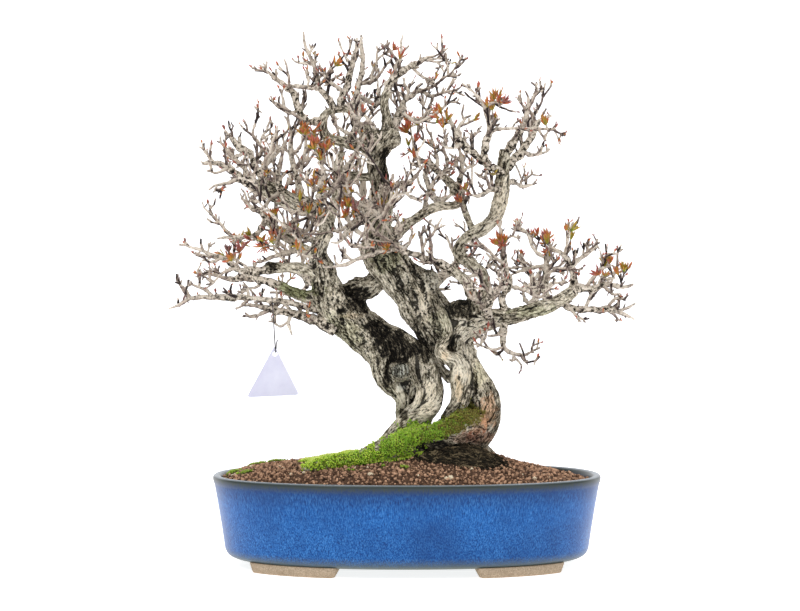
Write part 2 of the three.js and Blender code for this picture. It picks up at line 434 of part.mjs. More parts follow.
  ],
  back_pad: [
    [[291, 202, -14, 4.6], [288, 198, 12, 3.6], [282, 194, 32, 3], [272, 190, 54, 2.4], [262, 184, 74, 1.7],
      [253, 177, 90, 0.8]],
    [[282, 194, 32, 1.8], [288, 182, 46, 1.4], [291, 169, 58, 0.8]],
    [[272, 190, 54, 1.5], [262, 199, 66, 1.1], [249, 201, 76, 0.7]],
  ],
  back_heart: [
    [[441, 207, 28, 3.6], [436, 200, 52, 2.8], [430, 192, 72, 2.2], [426, 182, 90, 1.6],
      [424, 171, 104, 0.8]],
    [[436, 200, 52, 1.6], [448, 197, 66, 1.3], [461, 190, 78, 0.8]],
  ],
};

// Finishes, read from the object
const FINISH = {
  glaze: { color: 0x3b62a8, roughness: 0.18, metalness: 0 },
  screen: { color: 0x2c3230, roughness: 0.6, metalness: 0 },
  soil: { color: 0x6f4a3a, roughness: 0.95, metalness: 0 },
  bark: { color: 0xa09482, roughness: 0.9, metalness: 0 },
  twig: { color: 0xa8968c, roughness: 0.85, metalness: 0 },
  tag: { color: 0xdcdcea, roughness: 0.4, metalness: 0 },
  wire: { color: 0x3a3032, roughness: 0.5, metalness: 0.3 },
};

const UP = new THREE.Vector3(0, 0, 1);
const BACK = new THREE.Vector3(0, 1, 0);

// The place of a station that the front view shows at this column and row, at this depth
function place([column, row, depth]) {
  const scale = VIEW.mmPerPixel * (1 + depth / VIEW.distance);
  return new THREE.Vector3(
    (column - VIEW.centreColumn) * scale,
    depth,
    VIEW.eyeHeight - (row - VIEW.eyeRow) * scale,
  );
}

// A unit vector square to this direction, upwards where it can be
function squareTo(direction) {
  const square = Math.abs(direction.z) < 0.9 ? UP.clone() : BACK.clone();
  return square.addScaledVector(direction, -square.dot(direction)).normalize();
}

// A closed mesh as a solid: vertices that coincide are joined, collapsed triangles are dropped, and a
// mesh that is inside out is turned
function solid(geometry) {
  const bare = new THREE.BufferGeometry();
  bare.setAttribute("position", geometry.getAttribute("position"));
  if (geometry.index) bare.setIndex(geometry.index);
  const merged = mergeVertices(bare, 1e-4);
  const position = merged.getAttribute("position");
  const kept = [];
  let volume = 0;
  const corner = [new THREE.Vector3(), new THREE.Vector3(), new THREE.Vector3()];
  for (let i = 0; i < merged.index.count; i += 3) {
    const [a, b, c] = [0, 1, 2].map((k) => merged.index.getX(i + k));
    if (a === b || b === c || a === c) continue;
    kept.push(a, b, c);
    [a, b, c].forEach((v, k) => corner[k].fromBufferAttribute(position, v));
    volume += corner[0].dot(corner[1].clone().cross(corner[2]));
  }
  if (volume < 0) kept.reverse();
  return new Manifold(
    new SolidMesh({
      numProp: 3,
      vertProperties: new Float32Array(position.array),
      triVerts: new Uint32Array(kept),
    }),
  );
}

// A solid's own mesh, with its material
function piece(name, body, finish) {
  const mesh = body.getMesh();
  const geometry = new THREE.BufferGeometry();
  geometry.setAttribute("position", new THREE.BufferAttribute(new Float32Array(mesh.vertProperties), 3));
  geometry.setIndex(new THREE.BufferAttribute(new Uint32Array(mesh.triVerts), 1));
  geometry.computeVertexNormals();
  const result = new THREE.Mesh(geometry, new THREE.MeshStandardMaterial(finish));
  result.name = name;
  return result;
}

// The largest body of a solid, without the scraps that a cut leaves
function largest(body) {
  return body.decompose().sort((a, b) => b.volume() - a.volume())[0];
}

// The same body with fewer faces, none of them moved by more than this
function lighter(body, most) {
  return body.asOriginal().simplify(most);
}

// A tube through stations {point, across, through}: a cylinder whose rings are carried along the path, each
// as wide as its "across" one way and its "through" the other. relief(angle, ring) varies the radius.
function tube(stations, sides, relief = () => 1) {
  const last = stations.length - 1;
  const geometry = new THREE.CylinderGeometry(1, 1, 1, sides, last);
  const position = geometry.getAttribute("position");
  const tangents = stations.map((_, i) =>
    stations[Math.min(i + 1, last)].point.clone().sub(stations[Math.max(i - 1, 0)].point).normalize(),
  );
  const side = squareTo(tangents[0]);
  const frames = tangents.map((tangent) => {
    side.addScaledVector(tangent, -side.dot(tangent)).normalize();
    return [side.clone(), side.clone().cross(tangent)];
  });
  const moved = new THREE.Vector3();
  for (let v = 0; v < position.count; v += 1) {
    const ring = Math.round((position.getY(v) + 0.5) * last);
    const { point, across, through } = stations[ring];
    const [x, z] = [position.getX(v), position.getZ(v)];
    const swell = relief(Math.atan2(z, x), ring);
    moved.copy(point);
    moved.addScaledVector(frames[ring][0], x * across * swell);
    moved.addScaledVector(frames[ring][1], z * through * swell);
    position.setXYZ(v, moved.x, moved.y, moved.z);
  }
  return solid(geometry);
}

// Stations of a round tube, whose ends reach "more" further and whose radius is "more" greater
function roundStations(points, radii, more = 0) {
  const last = points.length - 1;
  return points.map((point, i) => {
    const end = point.clone();
    if (more > 0 && i === 0) end.addScaledVector(point.clone().sub(points[1]).normalize(), more);
    if (more > 0 && i === last) end.addScaledVector(point.clone().sub(points[last - 1]).normalize(), more);
    return { point: end, across: radii[i] + more, through: radii[i] + more };
  });
}

// A strand's rings: a smooth curve through its stations, with its radius running evenly between them
function strandRings([, steps, stations]) {
  const curve = new THREE.CatmullRomCurve3(stations.map(place), false, "catmullrom", 0.5);
  const points = [];
  const radii = [];
  for (let i = 0; i <= steps; i += 1) {
    const at = (i / steps) * (stations.length - 1);
    const from = Math.min(Math.floor(at), stations.length - 2);
    points.push(curve.getPoint(i / steps));
    radii.push(stations[from][3] + (stations[from + 1][3] - stations[from][3]) * (at - from));
  }
  return [points, radii];
}

// The woody body: strands with low winding ridges, and burls, all grown into one
function woodyBody(more) {
  const strands = Object.values(STRANDS).map((strand) => {
    const [points, radii] = strandRings(strand);
    const ridge = (angle, ring) =>
      RIDGES.reduce((sum, [count, relief, turn]) => sum + relief * Math.sin(count * angle + turn * ring), 1);
    return tube(roundStations(points, radii, more), strand[0], ridge);
  });
  const knots = KNOTS.map((knot) => {
    const burl = new THREE.IcosahedronGeometry(knot[3] + more, 1);
    burl.scale(...BURL_SHAPE);
    burl.translate(...place(knot).toArray());
    return solid(burl);
  });
  return largest(Manifold.union([...strands, ...knots]));
}

// Capsules that growing shoots keep clear of: the strands, the limbs of every spray and the tag's wire
function capsulesOf(node, points, radii) {
  return points.slice(1).map((end, i) => ({
    node,
    from: points[i],
    to: end,
    radius: Math.max(radii[i], radii[i + 1]),
  }));
}

// The least distance between the segments a-b and c-d
function segmentDistance(a, b, c, d) {
  const u = b.clone().sub(a);
  const v = d.clone().sub(c);
  const w = a.clone().sub(c);
  const [uu, uv, vv, uw, vw] = [u.dot(u), u.dot(v), v.dot(v), u.dot(w), v.dot(w)];
  const spread = uu * vv - uv * uv;
  const clamp = (t) => Math.min(1, Math.max(0, t));
  let s = spread > 1e-9 ? clamp((uv * vw - vv * uw) / spread) : 0;
  const t = clamp((uv * s + vw) / vv);
  s = clamp((uv * t - uw) / uu);
  return w.addScaledVector(u, s).addScaledVector(v, -t).length();
}

// A seeded draw of numbers from 0 up to 1
function seededDraw(seed) {
  let state = seed;
  return () => {
    state = (Math.imul(state, 1664525) + 1013904223) >>> 0;
    return state / 4294967296;
  };
}

// Short leafy shoots along each limb, at even steps, each turned until it is clear of everything near it
function growSpurs(limbs, obstacles) {
  const draw = seededDraw(SPUR.seed);
  const taken = [...obstacles];
  const spurs = [];
  for (const { node, points, radii } of limbs) {
    const lengths = points.slice(1).map((end, i) => end.distanceTo(points[i]));
    const total = lengths.reduce((sum, length) => sum + length, 0);
    for (let at = SPUR.first; at < total - SPUR.first / 2; at += SPUR.spacing) {
      let index = 0;
      let before = 0;
      while (before + lengths[index] < at) {
        before += lengths[index];
        index += 1;
      }
      const share = (at - before) / lengths[index];
      const base = points[index].clone().lerp(points[index + 1], share);
      const thick = radii[index] + (radii[index + 1] - radii[index]) * share;
      const along = points[index + 1].clone().sub(points[index]).normalize();
      const side = squareTo(along);
      const across = along.clone().cross(side);
      for (let attempt = 0; attempt < SPUR.tries; attempt += 1) {
        const turn = 2 * Math.PI * draw();
        const lean = SPUR.leastLean + (1 - SPUR.leastLean) * draw();
        const length = thick + SPUR.shortest + SPUR.spread * draw();
        const heading = along.clone().multiplyScalar(lean)
          .addScaledVector(side, Math.cos(turn))
          .addScaledVector(across, Math.sin(turn))
          .normalize();
        const middle = base.clone().addScaledVector(heading, length * SPUR.bend);
        const tip = heading.addScaledVector(UP, SPUR.rise).normalize()
          .multiplyScalar(length * (1 - SPUR.bend) + LEAF.length)
          .add(middle);
        const inside = tip.z < SPUR.highest && Math.abs(tip.x) < SPUR.widest;
        const clear = inside && taken.every(({ node: owner, from, to, radius }) =>
          owner === node
            ? segmentDistance(middle, tip, from, to) > radius + SPUR.radius
            : segmentDistance(base, tip, from, to) > radius + LEAF.halfWidth + CLEARANCE &&
              segmentDistance(middle, tip, from, to) > radius + LEAF.halfWidth + CLEARANCE,
        );
        if (clear) {
          const points = [base, middle, tip];
          spurs.push({ node, points });
          taken.push(...capsulesOf(node, points, [SPUR.radius, LEAF.halfWidth, LEAF.halfWidth]));
          break;
        }
      }
    }
  }
  return spurs;
}

// A shoot that ends in a leaf: round up to its neck, then a flat blade that widens and closes in a point
function leafyTube(points, radii, sides) {
  const last = points.length - 1;
  const stations = points.map((point, i) => ({ point, across: radii[i], through: radii[i] }));
  const ending = points[last].clone().sub(points[last - 1]);
  const length = ending.length();
  const blade = Math.min(LEAF.length, length * LEAF.mostOfShoot) / length;
  const neck = points[last].clone().addScaledVector(ending, -blade);
  const belly = points[last].clone().addScaledVector(ending, -blade * LEAF.widestAt);
  const thin = radii[last];
  stations.splice(
    last,
    1,
    { point: neck, across: thin, through: thin },
    { point: belly, across: LEAF.halfWidth, through: LEAF.halfThickness },
    { point: points[last], across: 0, through: 0 },
  );
  return tube(stations, sides);
}

// Each spray's limbs and shoots as one body, seated on the woody body with a hair's gap
function growSprays(seatedOn) {
  const limbs = Object.entries(SPRAYS).flatMap(([node, list]) =>
    list.map((stations) => ({ node, points: stations.map(place), radii: stations.map((s) => s[3]) })),
  );
  const wood = Object.values(STRANDS).flatMap((strand) => capsulesOf("trunk", ...strandRings(strand)));
  const knots = KNOTS.map((knot) => {
    const centre = place(knot);
    return { node: "trunk", from: centre, to: centre.clone().add(UP), radius: knot[3] };
  });
  const wire = [{ node: "tag_tie", from: TIE.top, to: TIE.hole, radius: WIRE.ring }];
  const grown = limbs.flatMap(({ node, points, radii }) => capsulesOf(node, points, radii));
  const spurs = growSpurs(limbs, [...wood, ...knots, ...wire, ...grown]);
  return Object.keys(SPRAYS).map((node) => {
    const parts = limbs.filter((limb) => limb.node === node)
      .map(({ points, radii }) => leafyTube(points, radii, radii[0] > STOUT ? 4 : 3));
    const shoots = spurs.filter((spur) => spur.node === node)
      .map(({ points }) => leafyTube(points, [SPUR.base, SPUR.radius, SPUR.radius], 3));
    const body = Manifold.union([...parts, ...shoots]).subtract(seatedOn);
    return piece(`spray_${node}`, lighter(largest(body), EASED.spray), FINISH.twig);
  });
}

// A point of the pot's oval, at this turn, for these half sizes
function ovalPoint(turn, halfLength, halfDepth) {
  const [c, s] = [Math.cos(turn), Math.sin(turn)];
  return [
    Math.sign(c) * Math.abs(c) ** (2 / OVAL_POWER) * halfLength,
    Math.sign(s) * Math.abs(s) ** (2 / OVAL_POWER) * halfDepth,
  ];
}

// A solid whose rings are ovals [half length, half depth, height], from its axis and back to it
function ovalTurned(rings, lift = () => 0) {
  const geometry = new THREE.LatheGeometry(
    rings.map(([halfLength, , height]) => new THREE.Vector2(halfLength, height)),
    OVAL_SEGMENTS,
  );
  const position = geometry.getAttribute("position");
  for (let v = 0; v < position.count; v += 1) {
    const column = Math.floor(v / rings.length) % OVAL_SEGMENTS;
    const [halfLength, halfDepth, height] = rings[v % rings.length];
    const [x, y] = ovalPoint((2 * Math.PI * column) / OVAL_SEGMENTS, halfLength, halfDepth);
    position.setXYZ(v, x, y, height + lift(x, y, v % rings.length));
  }
  return solid(geometry);
}

// One foot: a bar that follows the oval, with sloped ends
function foot(signX, signY) {
  const geometry = new THREE.BoxGeometry(1, 1, 1, 6, 1, 1);
  const position = geometry.getAttribute("position");
  const reach = HALF_LENGTH - POT.footInset;
  for (let v = 0; v < position.count; v += 1) {
    const [across, through] = [position.getX(v) + 0.5, 0.5 - position.getY(v)];
    const isUnderside = position.getZ(v) < 0;
    const bevel = isUnderside ? FOOT_BEVEL : 0;
    const slope = isUnderside ? POT.footSlope * (1 - 2 * through) : 0;
    const turn = FOOT_ANGLES[0] + bevel + (FOOT_ANGLES[1] - FOOT_ANGLES[0] - 2 * bevel) * across;
    const inset = through * POT.footWidth + slope;
    const [x, y] = ovalPoint(turn, reach - inset, reach - NARROWER - inset);
    position.setXYZ(v, signX * x, signY * y, isUnderside ? 0 : POT.footHeight + POT.footSunk);
  }
  return solid(geometry);
}

// Rings for ovalTurned from a section [inward from the rim, height]
function sectionRings(section) {
  return section.map(([inward, height]) => [HALF_LENGTH - inward, HALF_LENGTH - NARROWER - inward, height]);
}

// The fired pot: oval, with a rolled rim band, a rounded foot of the wall, drain holes and four feet
function pot() {
  const bottom = [0, 0, POT.footHeight];
  const floor = [0, 0, POT.floorTop];
  const body = ovalTurned([bottom, ...sectionRings(POT_SECTION), floor]);
  const radius = POT.drainDiameter / 2;
  const drains = [-1, 1].map((side) => {
    const hole = new THREE.CylinderGeometry(radius, radius, 2 * POT.floorTop, 16);
    hole.rotateX(Math.PI / 2);
    hole.translate((side * POT.drainSpacing) / 2, 0, POT.floorTop);
    return solid(hole);
  });
  const feet = [[-1, -1], [1, -1], [-1, 1], [1, 1]].map(([x, y]) => foot(x, y));
  return lighter(Manifold.union([body, ...feet]).subtract(Manifold.union(drains)), EASED.pot);
}

// The height of the soil above a point of the pot's plan
function soilHeight(x, y) {
  const reach = HALF_LENGTH - SOIL.edgeInset;
  const away = Math.min(1, Math.hypot(x / reach, y / (reach - NARROWER)));
  const fromMound = Math.hypot((x - MOUND.x) / MOUND.spreadX, (y - MOUND.y) / MOUND.spreadY);
  const crown = SOIL.crown * (1 - away ** SOIL.crownPower);
  return SOIL.edgeHeight + crown + MOUND.height * Math.exp(-0.5 * fromMound ** 2);
}

// The grain's height above a point of the soil's top
function grain(x, y) {
  const across = Math.sin(GRAIN.across * x + GRAIN.bend * Math.sin(GRAIN.slow * y));
  const back = Math.cos(GRAIN.back * y - GRAIN.bend * Math.sin(GRAIN.slow * x));
  return GRAIN.height * across * back;
}

// The soil fills the pot, is mounded to the trunk, and is hollowed where the roots and the screens lie
function soil(roots) {
  const reach = HALF_LENGTH - SOIL.edgeInset;
  const sides = sectionRings(SOIL_SECTION);
  const top = SOIL_RINGS.map((share) => [share * reach, share * (reach - NARROWER), 0]);
  const rings = [[0, 0, POT.floorTop + SEAT_GAP], ...sides, ...top, [0, 0, 0]];
  const firstTop = 1 + sides.length;
  const body = ovalTurned(rings, (x, y, ring) =>
    ring < firstTop ? 0 : soilHeight(x, y) + (ring > firstTop ? grain(x, y) : 0),
  );
  const recesses = [-1, 1].map((side) => {
    const width = SCREEN.side + 2 * SEAT_GAP;
    const recess = new THREE.BoxGeometry(width, width, 2 * (SCREEN.thickness + 2 * SEAT_GAP));
    recess.translate((side * POT.drainSpacing) / 2, 0, POT.floorTop);
    return solid(recess);
  });
  return lighter(largest(body.subtract(Manifold.union([roots, ...recesses]))), EASED.soil);
}

// A thin plastic screen with square openings, over a drain hole
function screen(side) {
  const height = POT.floorTop + SEAT_GAP + SCREEN.thickness / 2;
  const seat = new THREE.Vector3((side * POT.drainSpacing) / 2, 0, height);
  const plate = new THREE.BoxGeometry(SCREEN.side, SCREEN.side, SCREEN.thickness);
  plate.translate(...seat.toArray());
  const openings = [-1, 0, 1].flatMap((column) => [-1, 0, 1].map((row) => {
    const opening = new THREE.BoxGeometry(SCREEN.opening, SCREEN.opening, 3 * SCREEN.thickness);
    opening.translate(seat.x + column * SCREEN.pitch, seat.y + row * SCREEN.pitch, seat.z);
    return solid(opening);
  }));
  return solid(plate).subtract(Manifold.union(openings));
}

// Where the tag hangs: the wire's ring round a twig, the tag's hole, and the tag's three corners
const TIE = { top: place([272.5, 300, -22]), hole: place([274.8, 354, -22]) };
const TAG_CORNERS = [[274.4, 345.5, -22], [246.4, 397.5, -22], [299.2, 395, -22]].map(place);

// The tag: a flat triangle with round corners and a hole for the wire
function tag() {
  const flat = TAG_CORNERS.map((corner) => new THREE.Vector2(corner.x, corner.z));
  const centre = flat[0].clone().add(flat[1]).add(flat[2]).divideScalar(3);
  const outline = new THREE.Shape();
  flat.forEach((corner, i) => {
    const before = flat[(i + 2) % 3].clone().sub(corner).normalize().multiplyScalar(TAG.corner);
    const after = flat[(i + 1) % 3].clone().sub(corner).normalize().multiplyScalar(TAG.corner);
    const [start, end] = [corner.clone().add(before), corner.clone().add(after)];
    if (i === 0) outline.moveTo(start.x, start.y);
    else outline.lineTo(start.x, start.y);
    outline.quadraticCurveTo(corner.x, corner.y, end.x, end.y);
  });
  const hole = new THREE.Path();
  hole.absarc(TIE.hole.x, TIE.hole.z, TAG.holeRadius, 0, 2 * Math.PI, true);
  outline.holes.push(hole);
  const options = { depth: TAG.thickness, bevelEnabled: false, curveSegments: 5 };
  const plate = new THREE.ExtrudeGeometry(outline, options);
  plate.rotateX(Math.PI / 2);
  plate.translate(0, TIE.hole.y + TAG.thickness / 2, 0);
  return solid(plate);
}

// The wire: a ring round the twig, a straight drop and a narrow loop through the tag's hole
function tagTie() {
  const ring = new THREE.TorusGeometry(WIRE.ring, WIRE.radius, 5, 12);
  ring.rotateY(Math.PI / 2);
  ring.translate(...TIE.top.toArray());
  const loop = new THREE.TorusGeometry(1, WIRE.radius, 5, 12);
  const position = loop.getAttribute("position");
  for (let v = 0; v < position.count; v += 1) {
    const [x, y, z] = [position.getX(v), position.getY(v), position.getZ(v)];
    const out = Math.hypot(x, y);
    const deep = (x / out) * (WIRE.loopDepth + out - 1);
    const high = (y / out) * (WIRE.loopHeight + out - 1);
    position.setXYZ(v, z, deep, high);
  }
  const aboveHole = TAG.holeRadius - WIRE.radius - SEAT_GAP + WIRE.loopHeight;
  const loopCentre = TIE.hole.clone().addScaledVector(UP, aboveHole);
  loop.translate(...loopCentre.toArray());
  const dropFrom = TIE.top.clone().addScaledVector(UP, -WIRE.ring);
  const dropTo = loopCentre.clone().addScaledVector(UP, WIRE.loopHeight);
  const points = [0, 0.25, 0.5, 0.75, 1].map((share) => dropFrom.clone().lerp(dropTo, share));
  const drop = tube(roundStations(points, points.map(() => WIRE.radius)), 8);
  return lighter(Manifold.union([solid(ring), solid(loop), drop]), EASED.wire);
}

const trunk = woodyBody(0);
const trunkRoom = woodyBody(WOOD_ROOM);

const bonsai = new THREE.Group();
bonsai.name = "pomegranate_bonsai";
bonsai.add(
  piece("pot", pot(), FINISH.glaze),
  piece("drain_screen_left", screen(-1), FINISH.screen),
  piece("drain_screen_right", screen(1), FINISH.screen),
  piece("soil", soil(trunkRoom), FINISH.soil),
  piece("trunk", lighter(trunk, EASED.trunk), FINISH.bark),
  ...growSprays(trunkRoom),
  piece("tag", tag(), FINISH.tag),
  piece("tag_tie", tagTie(), FINISH.wire),
);

// The part stands over its own middle, with its feet at z = 0
const middle = new THREE.Box3().setFromObject(bonsai).getCenter(new THREE.Vector3());
bonsai.position.set(-middle.x, -middle.y, 0);

export default bonsai;
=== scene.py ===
"""The looks of an old twin-trunk pomegranate bonsai in its blue glazed oval pot.

Sizes are in millimetres and become metres where a mesh is made. The tree's stations are read in the
level front view: column and row in that view, depth behind the pot's middle, and radius.
"""
import logging
import math
from dataclasses import dataclass, field
from enum import Enum

import bpy
import numpy as np
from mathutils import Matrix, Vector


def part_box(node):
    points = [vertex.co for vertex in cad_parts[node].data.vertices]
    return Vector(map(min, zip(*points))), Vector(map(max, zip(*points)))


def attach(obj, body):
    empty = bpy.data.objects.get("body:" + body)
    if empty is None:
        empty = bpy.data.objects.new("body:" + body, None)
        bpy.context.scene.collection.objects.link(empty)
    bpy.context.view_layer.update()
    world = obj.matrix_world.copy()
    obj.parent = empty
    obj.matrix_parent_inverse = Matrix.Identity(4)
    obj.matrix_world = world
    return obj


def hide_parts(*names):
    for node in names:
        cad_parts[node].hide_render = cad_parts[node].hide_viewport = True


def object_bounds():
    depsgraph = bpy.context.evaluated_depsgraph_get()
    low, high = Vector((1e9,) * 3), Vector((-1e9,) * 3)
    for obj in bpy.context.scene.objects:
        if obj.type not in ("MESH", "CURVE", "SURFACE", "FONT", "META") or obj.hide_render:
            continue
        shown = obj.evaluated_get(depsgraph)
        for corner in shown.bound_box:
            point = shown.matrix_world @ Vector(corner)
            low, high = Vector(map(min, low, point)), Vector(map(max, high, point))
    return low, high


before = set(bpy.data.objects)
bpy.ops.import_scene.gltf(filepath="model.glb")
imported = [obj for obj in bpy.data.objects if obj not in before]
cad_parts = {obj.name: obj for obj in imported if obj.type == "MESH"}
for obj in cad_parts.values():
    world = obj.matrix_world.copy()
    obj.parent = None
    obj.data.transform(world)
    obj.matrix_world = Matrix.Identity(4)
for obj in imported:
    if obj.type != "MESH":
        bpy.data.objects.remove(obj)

LOG = logging.getLogger("pomegranate_bonsai")
MM = 0.001
Array = np.ndarray
Socket = bpy.types.NodeSocket
Colour = tuple[float, float, float, float]
NO_QUADS, NO_TRIANGLES = np.zeros((0, 4), int), np.zeros((0, 3), int)
# Which inputs and output of Blender's mix node carry colours
MIX_COLOURS, MIX_RESULT = (6, 7), 2
UP = np.array([0.0, 0.0, 1.0])
BACK = np.array([0.0, 1.0, 0.0])
CAD_LOW, CAD_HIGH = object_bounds()
BOX_LOW, BOX_HIGH = np.array(CAD_LOW) / MM, np.array(CAD_HIGH) / MM
POT_LOW, POT_HIGH = (np.array(corner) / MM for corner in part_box("pot"))
POT_MIDDLE_X = (POT_LOW[0] + POT_HIGH[0]) / 2

